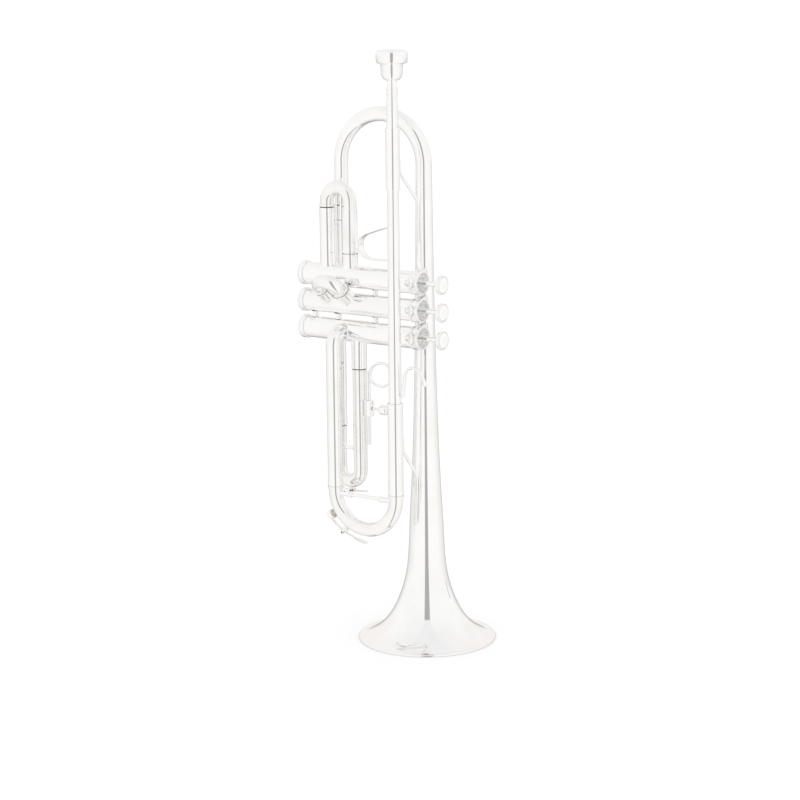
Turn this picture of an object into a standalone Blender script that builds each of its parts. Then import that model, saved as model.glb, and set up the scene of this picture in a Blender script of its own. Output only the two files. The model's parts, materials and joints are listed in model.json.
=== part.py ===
"""A silver-plated B-flat piston trumpet standing on its bell.

The bell rim rests on the ground. +Z runs up the bell towards the mouthpiece, +X points from the
bell towards the finger buttons, and -Y is the side of the leadpipe. Lengths are in millimetres
and are turned into metres as each mesh is made.
"""

from math import cos, exp, pi, sin

import bmesh
import bpy
from mathutils import Matrix, Vector

MM = 0.001
GAP = 0.3  # clearance left between pieces that touch

# ---- tubing ---------------------------------------------------------------------------------
TUBE_SIDES = 12
BORE = 5.83
CROOK_RADIUS = 6.15  # slide legs that run inside the sleeves
SLEEVE_BORE = 6.45
SLEEVE_RADIUS = 6.75
BOW_STEPS = 7

# ---- bell -----------------------------------------------------------------------------------
BELL_SIDES = 24
BELL_MOUTH = 61.0
BELL_FLARE = 13.6
BELL_POWER = 0.65
WAIST_DEPTH = 2.4
WAIST_HEIGHT = 62.0
WAIST_SPREAD = 33.0
BELL_WALL = 0.6
BEAD_HEIGHT = 2.6
BELL_TOP = 424.3

# ---- bell bow and tail ----------------------------------------------------------------------
BELL_BOW_RADIUS = 42.4
BOW_LEG = Vector((-84.6, -4.5, 0.0))
BOW_LEG_END = 372.0
TAIL_RADIUS = 5.95

# ---- valves ---------------------------------------------------------------------------------
VALVE_Y = -19.8
VALVE_PITCH = 24.1
VALVE_Z = (324.65, 300.55, 276.45)
CASING_RADIUS = 9.8
CASING_BORE = 8.7
CASING_LOW_X = -113.7
CASING_HIGH_X = 6.0
CASING_SIDES = 16
CAP_RADIUS = 10.75
CAP_BORE = CASING_RADIUS + GAP
BOTTOM_CAP_X = -117.6
TOP_CAP_X = 11.8
PISTON_RADIUS = 8.4
PISTON_LOW_X = -92.0
PISTON_HIGH_X = -40.0
BARREL_HIGH_X = 4.0
BARREL_RADIUS = 7.4
BARREL_BORE = 6.7
STROKE = 15.6
GUIDE_LOW_X = -36.0
GUIDE_THICK = 3.0
STEM_RADIUS = 2.4
STEM_HOLE = 3.0
BUTTON_X = 32.9
BUTTON_RADIUS = 8.4
BUTTON_THICK = 4.4
PEARL_RADIUS = 6.9
PORT_RADIUS = 5.8
PISTON_PORTS_X = (-83.0, -66.0)
PISTON_SIDES = 14

# ---- leadpipe side --------------------------------------------------------------------------
LEAD_X = -3.5
LEAD_Y = -41.9
RECEIVER_TOP = 459.3
RECEIVER_LOW = 406.7
RECEIVER_RADIUS = 6.15
S_BRACE_X = -2.5
LEAD_TOP = 430.0
LEAD_LOW = 209.0
SLEEVE_TOP = 221.5
SLEEVE_LOW = 140.0

# ---- slides ---------------------------------------------------------------------------------
TUNING_LOW_X = -68.9
TUNING_CENTRE_Z = 136.4
TUNING_LEG_TOP = 202.0
TUNING_BRACE_Z = 133.4
FIRST_NEAR_X = -65.3
FIRST_FAR_X = -89.7
FIRST_CENTRE = 65.8
SECOND_NEAR_X = -64.0
SECOND_FAR_X = -85.5
SECOND_CENTRE = 23.5
SECOND_TILT = 40.0
THIRD_NEAR_X = -57.0
THIRD_FAR_X = -79.5
THIRD_CENTRE = 125.8
THIRD_POST_Z = 170.0
SADDLE_LOW = 329.0
RING_X = -47.6
RING_Z = 238.9
RING_RADIUS = 10.4
RING_TURN = 18.0 * pi / 180
RING_ROD_LOW = 175.2
RING_ROD_RADIUS = 2.0
RING_CLAMP_Z = 208.2
FERRULE_RADIUS = 7.0
KEY_HOLE_ANGLE = 213.0
KEY_PIVOT_ANGLE = 238.0
KEY_PIVOT_RISE = 5.8
THIRD_HOLE_ANGLE = 226.0
THIRD_PIVOT_ANGLE = 276.0
THIRD_PIVOT_RISE = 2.7
KEY_PIN_RADIUS = 0.6

UP = Vector((0.0, 0.0, 1.0))
TOWARD_BUTTONS = Vector((1.0, 0.0, 0.0))
TOWARD_BELL_SIDE = Vector((0.0, 1.0, 0.0))


# ---- materials ------------------------------------------------------------------------------
def material(name, colour, metallic, roughness):
    """A Principled BSDF material, made once and shared by name."""
    found = bpy.data.materials.get(name)
    if found:
        return found
    made = bpy.data.materials.new(name)
    made.use_nodes = True
    shader = made.node_tree.nodes["Principled BSDF"]
    shader.inputs["Base Color"].default_value = (*colour, 1.0)
    shader.inputs["Metallic"].default_value = metallic
    shader.inputs["Roughness"].default_value = roughness
    return made


def silver():
    return material("silver_plate", (0.86, 0.86, 0.84), 1.0, 0.12)


def worn_silver():
    return material("silver_slide_tube", (0.80, 0.79, 0.75), 1.0, 0.2)


def monel():
    return material("monel", (0.62, 0.61, 0.58), 1.0, 0.25)


def spring_steel():
    return material("spring_steel", (0.45, 0.45, 0.47), 1.0, 0.35)


def pearl():
    return material("pearl", (0.88, 0.88, 0.85), 0.0, 0.25)


def felt():
    return material("felt", (0.75, 0.75, 0.72), 0.0, 0.9)


def cork():
    return material("cork", (0.62, 0.45, 0.28), 0.0, 0.8)


def nylon():
    return material("nylon", (0.85, 0.84, 0.8), 0.0, 0.5)


# ---- mesh helpers ---------------------------------------------------------------------------
def clear_scene():
    for item in list(bpy.data.objects):
        bpy.data.objects.remove(item, do_unlink=True)


def finish(name, mesh_data, look, origin=Vector((0.0, 0.0, 0.0)), smooth=True):
    """Turns a bmesh in millimetres into a named object whose origin is at the given point."""
    bmesh.ops.translate(mesh_data, verts=mesh_data.verts, vec=-origin)
    bmesh.ops.scale(mesh_data, verts=mesh_data.verts, vec=(MM, MM, MM))
    bmesh.ops.recalc_face_normals(mesh_data, faces=mesh_data.faces)
    mesh = bpy.data.meshes.new(name)
    mesh_data.to_mesh(mesh)
    mesh_data.free()
    for face in mesh.polygons:
        face.use_smooth = smooth and len(face.vertices) <= 4
    mesh.materials.append(look)
    made = bpy.data.objects.new(name, mesh)
    made.location = origin * MM
    bpy.context.scene.collection.objects.link(made)
    return made


def frame_about(axis):
    """Two unit vectors square to the axis and to each other."""
    helper = UP if abs(axis.z) < 0.9 else TOWARD_BUTTONS
    side = axis.cross(helper).normalized()
    return side, axis.cross(side).normalized()


def ring_of(mesh_data, centre, side, other, radius, sides, flat=1.0):
    return [
        mesh_data.verts.new(
            centre
            + side * (radius * flat * cos(2 * pi * k / sides))
            + other * (radius * sin(2 * pi * k / sides))
        )
        for k in range(sides)
    ]


def skin(mesh_data, rings, closed):
    """Quads between neighbouring rings; the last joins the first when closed."""
    count = len(rings) if closed else len(rings) - 1
    for i in range(count):
        first, second = rings[i], rings[(i + 1) % len(rings)]
        sides = len(first)
        for k in range(sides):
            after = (k + 1) % sides
            mesh_data.faces.new((first[k], first[after], second[after], second[k]))


def turned(profile, start, axis, sides, hollow=True):
    """A solid of revolution from (distance along the axis, radius) points.

    A hollow profile is a closed loop. A solid one runs from one end face to the other.
    """
    mesh_data = bmesh.new()
    side, other = frame_about(axis)
    rings = [ring_of(mesh_data, start + axis * along, side, other, radius, sides) for along, radius in profile]
    skin(mesh_data, rings, hollow)
    if not hollow:
        mesh_data.faces.new(rings[0])
        mesh_data.faces.new(rings[-1])
    return mesh_data


def swept(stations, normal, sides=TUBE_SIDES, flat=1.0):
    """A tube along a flat path. Each station is (point, direction, outer radius, bore radius).

    A path whose bore radius is 0 makes a solid rod.
    """
    mesh_data = bmesh.new()
    outer = []
    inner = []
    for point, direction, radius, bore in stations:
        other = direction.cross(normal).normalized()
        outer.append(ring_of(mesh_data, point, normal, other, radius, sides, flat))
        if bore:
            inner.append(ring_of(mesh_data, point, normal, other, bore, sides, flat))
    if inner:
        skin(mesh_data, outer + inner[::-1], True)
    else:
        skin(mesh_data, outer, False)
        mesh_data.faces.new(outer[0])
        mesh_data.faces.new(outer[-1])
    return mesh_data


def arc(centre, start, turn_axis, degrees, steps):
    """(point, direction) pairs round a centre, from the start point."""
    spoke = start - centre
    found = []
    for k in range(steps + 1):
        turned_spoke = Matrix.Rotation(degrees * k / steps * pi / 180, 3, turn_axis) @ spoke
        found.append((centre + turned_spoke, turn_axis.cross(turned_spoke).normalized()))
    return found


def boolean(target, tool, operation):
    """Applies one exact boolean and removes the tool."""
    change = target.modifiers.new(operation.lower(), "BOOLEAN")
    change.operation = operation
    change.solver = "EXACT"
    change.object = tool
    graph = bpy.context.evaluated_depsgraph_get()
    result = bpy.data.meshes.new_from_object(target.evaluated_get(graph))
    target.modifiers.clear()
    result.name = target.data.name
    target.data = result
    bpy.data.objects.remove(tool, do_unlink=True)


def cylinder(start, axis, length, radius, sides):
    return turned([(0, radius), (length, radius)], start, axis, sides, hollow=False)


def cut_cylinder(target, start, axis, length, radius, sides=CASING_SIDES):
    tool = finish("cutter", cylinder(start, axis, length, radius, sides), silver())
    boolean(target, tool, "DIFFERENCE")


def join(target, mesh_data):
    boolean(target, finish("joined", mesh_data, target.data.materials[0]), "UNION")


def clear_casing(target, number):
    """Shapes the end of a tube to the casing it meets."""
    start = Vector((CASING_LOW_X, VALVE_Y, VALVE_Z[number]))
    cut_cylinder(target, start, TOWARD_BUTTONS, CASING_HIGH_X - CASING_LOW_X, CASING_RADIUS + GAP + 0.1)


# ---- bell, bow and tail ---------------------------------------------------------------------
def bell_bore(height):
    """The bore radius of the bell at a height above its rim."""
    horn = BELL_MOUTH * (BELL_FLARE / (height + BELL_FLARE)) ** BELL_POWER
    return horn - WAIST_DEPTH * exp(-(((height - WAIST_HEIGHT) / WAIST_SPREAD) ** 2)) * min(1.0, height / 20)


def bell():
    """The flared bell with its beaded rim, down to a flat resting edge."""
    heights = [4.5, 8, 13, 20, 29, 42, 60, 86, 128, 200, 300, BELL_TOP]
    outer = [(height, bell_bore(height) + BELL_WALL) for height in heights]
    inner = [(height, bell_bore(height)) for height in reversed(heights)]
    rim = BELL_MOUTH + 0.5
    bead = [(0.0, rim - 2.6), (0.0, rim - 0.8), (BEAD_HEIGHT / 2, rim), (BEAD_HEIGHT, rim - 0.9)]
    profile = [(1.0, rim - 3.6), *bead, (BEAD_HEIGHT + 0.2, rim - 3.4), *outer, *inner]
    return finish("bell", turned(profile, Vector((0, 0, 0)), UP, BELL_SIDES), silver())


def bell_bow():
    """The tapering bow that turns the bell back down towards the first valve."""
    across = BOW_LEG.normalized()
    normal = across.cross(UP)
    start = Vector((0, 0, BELL_TOP + GAP))
    centre = start + across * BELL_BOW_RADIUS
    bend = arc(centre, start, -normal, 180, 10)
    end = bend[-1][0].copy()
    end.z = BOW_LEG_END + GAP
    path = bend + [(end, -UP)]
    first, last = bell_bore(BELL_TOP) + BELL_WALL, TAIL_RADIUS
    stations = []
    for k, (point, direction) in enumerate(path):
        radius = first + (last - first) * k / (len(path) - 1)
        stations.append((point, direction, radius, radius - BELL_WALL))
    return finish("bell_bow", swept(stations, normal), silver())


def bell_tail():
    """The knuckle from the bow's leg into the side of the first casing."""
    bend_radius = 7.0
    port = VALVE_Z[0] + 2.5
    top = Vector((BOW_LEG.x, BOW_LEG.y, BOW_LEG_END))
    start = Vector((BOW_LEG.x, BOW_LEG.y, port + bend_radius))
    centre = start - TOWARD_BELL_SIDE * bend_radius
    bend = arc(centre, start, -TOWARD_BUTTONS, 90, 6)
    end = Vector((BOW_LEG.x, VALVE_Y, port))
    path = [(top, -UP), *bend, (end, -TOWARD_BELL_SIDE)]
    stations = [(point, direction, TAIL_RADIUS, TAIL_RADIUS - BELL_WALL) for point, direction in path]
    made = finish("bell_tail", swept(stations, TOWARD_BUTTONS), silver())
    clear_casing(made, 0)
    return made


# ---- leadpipe side --------------------------------------------------------------------------
def on_leadpipe(height):
    return Vector((LEAD_X, LEAD_Y, height))


def leadpipe():
    """The tapered pipe from the receiver down into the upper slide sleeve."""
    length = LEAD_TOP - LEAD_LOW
    profile = [(0, 5.65), (length * 0.25, 5.65), (length, 4.95), (length, 4.35), (0, 5.05)]
    return finish("leadpipe", turned(profile, on_leadpipe(LEAD_LOW), UP, TUBE_SIDES), silver())


def mouthpiece_receiver():
    length = RECEIVER_TOP - RECEIVER_LOW
    outer = [(0, 5.9), (1.2, RECEIVER_RADIUS), (length - 3, RECEIVER_RADIUS), (length - 2.4, 6.6), (length, 6.6)]
    bore = [(length, 5.75), (26, 5.3), (0, 5.3)]
    return finish("mouthpiece_receiver", turned(outer + bore, on_leadpipe(RECEIVER_LOW), UP, 16), silver())


def mouthpiece():
    """Rim, cup, beaded neck and shank, with the bore right through."""
    outer = [
        (434.0, 4.75),
        (458.0, 4.9),
        (480.0, 5.0),
        (485.0, 4.5),
        (487.2, 4.5),
        (487.6, 4.9),
        (489.2, 4.9),
        (489.6, 4.4),
        (490.8, 4.4),
        (491.2, 5.2),
        (493.2, 5.2),
        (493.8, 4.15),
        (499.6, 4.25),
        (501.2, 5.6),
        (503.6, 8.0),
        (507.2, 9.3),
        (513.0, 9.6),
        (513.6, 12.6),
        (517.5, 13.6),
        (522.6, 13.5),
        (524.4, 11.2),
    ]
    inner = [(522.8, 8.7), (516.0, 7.6), (511.5, 4.6), (508.5, 1.9), (503.0, 1.9), (434.0, 4.3)]
    base = 434.0
    profile = [(height - base, radius) for height, radius in outer + inner]
    return finish("mouthpiece", turned(profile, on_leadpipe(base), UP, 16), silver())


def upper_tuning_sleeve():
    length = SLEEVE_TOP - SLEEVE_LOW
    outer = [(0, FERRULE_RADIUS), (3.5, FERRULE_RADIUS), (3.8, SLEEVE_RADIUS), (length - 3.5, SLEEVE_RADIUS)]
    top = [(length - 3.2, FERRULE_RADIUS), (length, FERRULE_RADIUS), (length, 5.95), (length - 8, 5.95)]
    bore = [(length - 8.3, SLEEVE_BORE), (0, SLEEVE_BORE)]
    return finish("upper_tuning_sleeve", turned(outer + top + bore, on_leadpipe(SLEEVE_LOW), UP, TUBE_SIDES), silver())


def lower_tuning_sleeve():
    """The sleeve whose elbow turns into the third casing."""
    bend_radius = 12.0
    port = VALVE_Z[2]
    low = Vector((TUNING_LOW_X, LEAD_Y, SLEEVE_LOW))
    start = Vector((TUNING_LOW_X, LEAD_Y, port - bend_radius))
    centre = start + TOWARD_BELL_SIDE * bend_radius
    bend = arc(centre, start, -TOWARD_BUTTONS, 90, 7)
    end = Vector((TUNING_LOW_X, VALVE_Y, port))
    collar = low + UP * 3.5
    stations = [
        (low, UP, FERRULE_RADIUS, SLEEVE_BORE),
        (collar, UP, FERRULE_RADIUS, SLEEVE_BORE),
        (collar + UP * 0.3, UP, SLEEVE_RADIUS, SLEEVE_BORE),
        *[(point, direction, SLEEVE_RADIUS, SLEEVE_BORE) for point, direction in bend],
        (end, TOWARD_BELL_SIDE, SLEEVE_RADIUS, SLEEVE_BORE),
    ]
    made = finish("lower_tuning_sleeve", swept(stations, TOWARD_BUTTONS), silver())
    clear_casing(made, 2)
    return made


# ---- slides ---------------------------------------------------------------------------------
def slide_frame(number):
    """Where a valve slide starts, which way it runs, and the normal of its bow."""
    if number == 0:
        out = UP
    elif number == 1:
        tilt = SECOND_TILT * pi / 180
        out = Vector((0.0, -cos(tilt), sin(tilt)))
    else:
        out = -UP
    base = Vector((0.0, VALVE_Y, VALVE_Z[number]))
    return base, out, out.cross(TOWARD_BUTTONS).normalized()


def valve_sleeve(name, number, x, length):
    """A slide sleeve standing on a casing, with a collar at its mouth."""
    base, out, _ = slide_frame(number)
    collar = length - 2.0
    outer = [(0, SLEEVE_RADIUS), (collar, SLEEVE_RADIUS), (collar + 0.3, FERRULE_RADIUS), (length, FERRULE_RADIUS)]
    bore = [(length, SLEEVE_BORE), (0, SLEEVE_BORE)]
    made = finish(name, turned(outer + bore, base + TOWARD_BUTTONS * x, out, TUBE_SIDES), silver())
    clear_casing(made, number)
    return made


def crook(name, number, near_x, far_x, centre, near_leg, far_start, far_collar):
    """A U-shaped slide: the near leg's own stations, the bow, and a far leg that runs in its sleeve.

    The near leg is a list of (distance out from the casing axis, outer radius, bore radius).
    """
    base, out, normal = slide_frame(number)
    spread = (near_x - far_x) / 2
    near = base + TOWARD_BUTTONS * near_x
    far = base + TOWARD_BUTTONS * far_x
    middle = base + TOWARD_BUTTONS * (far_x + spread) + out * centre
    bend = arc(middle, near + out * centre, -normal, 180, BOW_STEPS)
    stations = [
        *[(near + out * along, out, radius, bore) for along, radius, bore in near_leg],
        *[(point, direction, CROOK_RADIUS, BORE) for point, direction in bend],
        (far + out * far_collar, -out, CROOK_RADIUS, BORE),
        (far + out * far_start, -out, CROOK_RADIUS, BORE),
    ]
    return finish(name, swept(stations, normal), worn_silver(), origin=near + out * near_leg[0][0])


def inner_leg(start, collar):
    """A leg that runs inside its sleeve."""
    return [(start, CROOK_RADIUS, BORE), (collar, CROOK_RADIUS, BORE)]


def first_slide_near_tube():
    """The fixed tube over which the first slide's near leg runs, rising from a short socket."""
    base, out, _ = slide_frame(0)
    outer = [(0, SLEEVE_RADIUS), (20.2, SLEEVE_RADIUS), (20.5, CROOK_RADIUS), (56.0, CROOK_RADIUS)]
    bore = [(56.0, BORE), (0, BORE)]
    tube = turned(outer + bore, base + TOWARD_BUTTONS * FIRST_NEAR_X, out, TUBE_SIDES)
    made = finish("first_slide_near_tube", tube, silver())
    clear_casing(made, 0)


def first_slide():
    """The first slide: its near leg is an outer tube, its far leg an inner one."""
    first_slide_near_tube()
    valve_sleeve("first_slide_far_sleeve", 0, FIRST_FAR_X, 59.8)
    outer_leg = [
        (21.0, SLEEVE_RADIUS, SLEEVE_BORE),
        (58.5, SLEEVE_RADIUS, SLEEVE_BORE),
        (58.8, SLEEVE_RADIUS, BORE),
        (60.2, SLEEVE_RADIUS, BORE),
        (60.5, CROOK_RADIUS, BORE),
    ]
    crook("first_slide_crook", 0, FIRST_NEAR_X, FIRST_FAR_X, FIRST_CENTRE, outer_leg, 26.0, 60.2)


def second_slide():
    valve_sleeve("second_slide_near_sleeve", 1, SECOND_NEAR_X, 20.5)
    valve_sleeve("second_slide_far_sleeve", 1, SECOND_FAR_X, 20.5)
    near_leg = inner_leg(11.0, 21.0)
    crook("second_slide_crook", 1, SECOND_NEAR_X, SECOND_FAR_X, SECOND_CENTRE, near_leg, 11.0, 21.0)


def third_slide():
    """The longest valve slide, whose legs a soldered post keeps apart."""
    valve_sleeve("third_slide_near_sleeve", 2, THIRD_NEAR_X, 33.0)
    valve_sleeve("third_slide_far_sleeve", 2, THIRD_FAR_X, 86.5)
    near_leg = inner_leg(12.0, 33.5)
    made = crook("third_slide_crook", 2, THIRD_NEAR_X, THIRD_FAR_X, THIRD_CENTRE, near_leg, 36.0, 87.0)
    inset = CROOK_RADIUS - 0.28
    start = Vector((THIRD_FAR_X + inset, VALVE_Y, THIRD_POST_Z))
    join(made, cylinder(start, TOWARD_BUTTONS, THIRD_NEAR_X - THIRD_FAR_X - 2 * inset, 1.6, 10))
    half = (THIRD_NEAR_X - THIRD_FAR_X) / 2
    middle = Vector((THIRD_FAR_X + half, VALVE_Y, VALVE_Z[2] - THIRD_CENTRE))
    water_hole(made, middle, half, THIRD_HOLE_ANGLE, 2.0, 1.5)
    key_saddle(made, middle, half, THIRD_PIVOT_ANGLE, THIRD_PIVOT_RISE, 2.9)


def tuning_slide():
    """The main slide: its crook points down, and its legs run up into the two sleeves."""
    half = (LEAD_X - TUNING_LOW_X) / 2
    near = on_leadpipe(TUNING_CENTRE_Z)
    far = near - TOWARD_BUTTONS * 2 * half
    middle = near - TOWARD_BUTTONS * half
    turn = arc(middle, near, TOWARD_BELL_SIDE, 180, 10)
    lift = UP * (TUNING_LEG_TOP - TUNING_CENTRE_Z)
    shoulder = UP * (SLEEVE_LOW - 0.5 - TUNING_CENTRE_Z)
    stations = [
        (near + lift, -UP, CROOK_RADIUS, BORE),
        (near + shoulder, -UP, CROOK_RADIUS, BORE),
        (near + shoulder, -UP, FERRULE_RADIUS, BORE),
        (turn[0][0] + UP * 0.6, -UP, FERRULE_RADIUS, BORE),
        *[(point, direction, CROOK_RADIUS, BORE) for point, direction in turn],
        (far + UP * 0.6, UP, FERRULE_RADIUS, BORE),
        (far + shoulder, UP, FERRULE_RADIUS, BORE),
        (far + shoulder, UP, CROOK_RADIUS, BORE),
        (far + lift, UP, CROOK_RADIUS, BORE),
    ]
    made = finish("tuning_slide_crook", swept(stations, TOWARD_BELL_SIDE), worn_silver(), origin=near)
    water_hole(made, middle, half, KEY_HOLE_ANGLE, 3.2, 2.5)
    key_saddle(made, middle, half, KEY_PIVOT_ANGLE, KEY_PIVOT_RISE, 3.5)


def tuning_slide_brace():
    """The rod between the legs of the main crook, with a collar near each end."""
    inset = CROOK_RADIUS + 4 * GAP
    start = Vector((TUNING_LOW_X + inset, LEAD_Y, TUNING_BRACE_Z))
    length = LEAD_X - TUNING_LOW_X - 2 * inset
    rod, collar = 1.7, 3.0
    profile = [(0, 2.9), (1.0, rod), (7.0, rod), (7.2, collar), (9.4, collar), (9.6, rod)]
    profile += [(length - along, radius) for along, radius in reversed(profile)]
    return finish("tuning_slide_brace", turned(profile, start, TOWARD_BUTTONS, 12, hollow=False), silver())


# ---- valves ---------------------------------------------------------------------------------
def on_valve(number, x):
    return Vector((x, VALVE_Y, VALVE_Z[number]))


def casing(number):
    """A casing tube with the mouths of the ports that meet it."""
    length = CASING_HIGH_X - CASING_LOW_X
    profile = [(0, CASING_RADIUS), (length, CASING_RADIUS), (length, CASING_BORE), (0, CASING_BORE)]
    tube = turned(profile, on_valve(number, CASING_LOW_X), TOWARD_BUTTONS, CASING_SIDES)
    made = finish(f"valve_casing_{number + 1}", tube, silver())
    near_x, far_x = (
        (FIRST_NEAR_X, FIRST_FAR_X),
        (SECOND_NEAR_X, SECOND_FAR_X),
        (THIRD_NEAR_X, THIRD_FAR_X),
    )[number]
    base, out, _ = slide_frame(number)
    for x in (near_x, far_x):
        cut_cylinder(made, base + TOWARD_BUTTONS * x, out, 14.0, PORT_RADIUS, 10)
    if number == 0:
        cut_cylinder(made, Vector((BOW_LEG.x, VALVE_Y, VALVE_Z[0] + 2.5)), TOWARD_BELL_SIDE, 14.0, 4.8, 10)
    if number == 2:
        cut_cylinder(made, on_valve(2, TUNING_LOW_X), -TOWARD_BELL_SIDE, 14.0, PORT_RADIUS, 10)
    return made


def top_cap(number):
    """The screwed cap that the stem passes through."""
    rim = CAP_RADIUS - 0.2
    depth = TOP_CAP_X - 2.0
    profile = [
        (0.0, rim),
        (depth - 1.2, rim),
        (depth, rim - 0.9),
        (depth, STEM_HOLE),
        (depth - 2.0, STEM_HOLE),
        (depth - 2.0, CASING_BORE),
        (4.4, CASING_BORE),
        (4.4, CAP_BORE),
        (0.0, CAP_BORE),
    ]
    tube = turned(profile, on_valve(number, 2.0), TOWARD_BUTTONS, CASING_SIDES)
    return finish(f"top_cap_{number + 1}", tube, silver())


def bottom_cap(number):
    """The closed cap under the casing, with its small air hole."""
    depth = 7.0
    profile = [
        (0.0, 1.3),
        (0.0, CAP_RADIUS - 2.6),
        (1.2, CAP_RADIUS - 0.5),
        (3.4, CAP_RADIUS),
        (depth, CAP_RADIUS),
        (depth, CAP_BORE),
        (3.6, CAP_BORE),
        (1.8, CASING_BORE - 1.5),
        (1.8, 1.3),
    ]
    tube = turned(profile, on_valve(number, BOTTOM_CAP_X), TOWARD_BUTTONS, CASING_SIDES)
    return finish(f"bottom_cap_{number + 1}", tube, silver())


def piston(number):
    """Piston and spring barrel, with two cross bores and the slot for the guide's lugs."""
    barrel_low = PISTON_HIGH_X - PISTON_LOW_X
    barrel_high = BARREL_HIGH_X - PISTON_LOW_X
    profile = [
        (0, PISTON_RADIUS),
        (barrel_low, PISTON_RADIUS),
        (barrel_low, BARREL_RADIUS),
        (barrel_high, BARREL_RADIUS),
        (barrel_high, STEM_RADIUS + GAP),
        (barrel_high - 2.5, STEM_RADIUS + GAP),
        (barrel_high - 2.5, BARREL_BORE),
        (barrel_low, BARREL_BORE),
        (barrel_low - 1.5, 2.0),
        (0, 2.0),
    ]
    tube = turned(profile, on_valve(number, PISTON_LOW_X), TOWARD_BUTTONS, PISTON_SIDES)
    made = finish(f"piston_{number + 1}", tube, monel(), origin=on_valve(number, PISTON_LOW_X))
    for x in PISTON_PORTS_X:
        cut_cylinder(made, on_valve(number, x) - UP * 12, UP, 24.0, PORT_RADIUS, 8)
    slot = bmesh.new()
    bmesh.ops.create_cube(slot, size=1.0)
    low, high = GUIDE_LOW_X - 0.7, GUIDE_LOW_X + GUIDE_THICK + STROKE + 0.7
    bmesh.ops.scale(slot, verts=slot.verts, vec=(high - low, 24.0, 5.0))
    bmesh.ops.translate(slot, verts=slot.verts, vec=on_valve(number, (low + high) / 2))
    boolean(made, finish("slot", slot, monel()), "DIFFERENCE")
    return made


def valve_guide(number):
    """The fixed guide: a disc round which the barrel slides, with two lugs that key the casing."""
    disc = [(0, 6.0), (GUIDE_THICK, 6.0), (GUIDE_THICK, STEM_HOLE), (0, STEM_HOLE)]
    made = finish(f"valve_guide_{number + 1}", turned(disc, on_valve(number, GUIDE_LOW_X), TOWARD_BUTTONS, 12), nylon())
    for way in (-1, 1):
        lug = bmesh.new()
        bmesh.ops.create_cube(lug, size=1.0)
        bmesh.ops.scale(lug, verts=lug.verts, vec=(GUIDE_THICK - 0.4, 3.6, 4.0))
        place = on_valve(number, GUIDE_LOW_X + GUIDE_THICK / 2) + TOWARD_BELL_SIDE * way * 6.4
        bmesh.ops.translate(lug, verts=lug.verts, vec=place)
        join(made, lug)
    return made


def valve_spring(number):
    """The return spring between the guide and the top of the barrel."""
    turns, per_turn, wire, coil = 4, 7, 0.55, 5.2
    low = GUIDE_LOW_X + GUIDE_THICK + wire + GAP
    high = BARREL_HIGH_X - 2.5 - wire - GAP
    mesh_data = bmesh.new()
    rings = []
    count = turns * per_turn
    for k in range(count + 1):
        angle = 2 * pi * k / per_turn
        outward = Vector((0.0, cos(angle), sin(angle)))
        centre = on_valve(number, low + (high - low) * k / count) + outward * coil
        rings.append(ring_of(mesh_data, centre, TOWARD_BUTTONS, outward, wire, 4))
    skin(mesh_data, rings, False)
    mesh_data.faces.new(rings[0])
    mesh_data.faces.new(rings[-1])
    return finish(f"valve_spring_{number + 1}", mesh_data, spring_steel(), smooth=False)


def finger_button(number):
    """The button and its stem, turned in one piece, with a seat for the pearl."""
    back = BUTTON_X - BUTTON_THICK
    foot = BARREL_HIGH_X - 2.5 + GAP
    profile = [
        (0.0, STEM_RADIUS),
        (back - foot, STEM_RADIUS),
        (back - foot, 5.6),
        (back + 0.5 - foot, BUTTON_RADIUS - 0.3),
        (back + 1.4 - foot, BUTTON_RADIUS),
        (BUTTON_X - 0.7 - foot, BUTTON_RADIUS),
        (BUTTON_X - foot, BUTTON_RADIUS - 0.8),
        (BUTTON_X - foot, PEARL_RADIUS + GAP),
        (BUTTON_X - 1.2 - foot, PEARL_RADIUS + GAP),
    ]
    tube = turned(profile, on_valve(number, foot), TOWARD_BUTTONS, 12, hollow=False)
    return finish(f"finger_button_{number + 1}", tube, silver(), origin=on_valve(number, foot))


def button_pearl(number):
    """The domed inlay in the button."""
    low = BUTTON_X - 1.2 + GAP
    profile = [(0, PEARL_RADIUS), (0.9, PEARL_RADIUS), (1.5, PEARL_RADIUS * 0.55)]
    disc = turned(profile, on_valve(number, low), TOWARD_BUTTONS, 12, hollow=False)
    return finish(f"button_pearl_{number + 1}", disc, pearl(), origin=on_valve(number, low))


def stem_felt(number):
    """The felt washer on top of the barrel that quiets the up-stroke."""
    low = BARREL_HIGH_X + GAP
    thick = TOP_CAP_X - 2.0 - low - GAP
    profile = [(0, 6.0), (thick, 6.0), (thick, STEM_RADIUS + GAP), (0, STEM_RADIUS + GAP)]
    ring = turned(profile, on_valve(number, low), TOWARD_BUTTONS, 12)
    return finish(f"stem_felt_{number + 1}", ring, felt(), origin=on_valve(number, low))


def casing_link(name, upper, x, radius):
    """A short spacer between two casings."""
    start = on_valve(upper, x) - UP * VALVE_PITCH
    made = finish(name, cylinder(start, UP, VALVE_PITCH, radius, 10), silver())
    clear_casing(made, upper)
    clear_casing(made, upper + 1)
    return made


def valves():
    for number in range(3):
        casing(number)
        top_cap(number)
        bottom_cap(number)
        piston(number)
        valve_guide(number)
        valve_spring(number)
        finger_button(number)
        button_pearl(number)
        stem_felt(number)
    casing_link("casing_link_12", 0, -38.5, 2.2)
    casing_link("casing_link_23_top", 1, -38.5, 2.2)
    casing_link("casing_link_23_middle", 1, -78.5, 2.8)
    casing_link("casing_link_23_bottom", 1, -103.5, 2.6)


# ---- hand fittings --------------------------------------------------------------------------
def directed(places):
    """(point, direction) pairs for points in order along a path."""
    found = []
    for k, place in enumerate(places):
        before, after = places[max(0, k - 1)], places[min(len(places) - 1, k + 1)]
        found.append((place, (after - before).normalized()))
    return found


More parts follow.
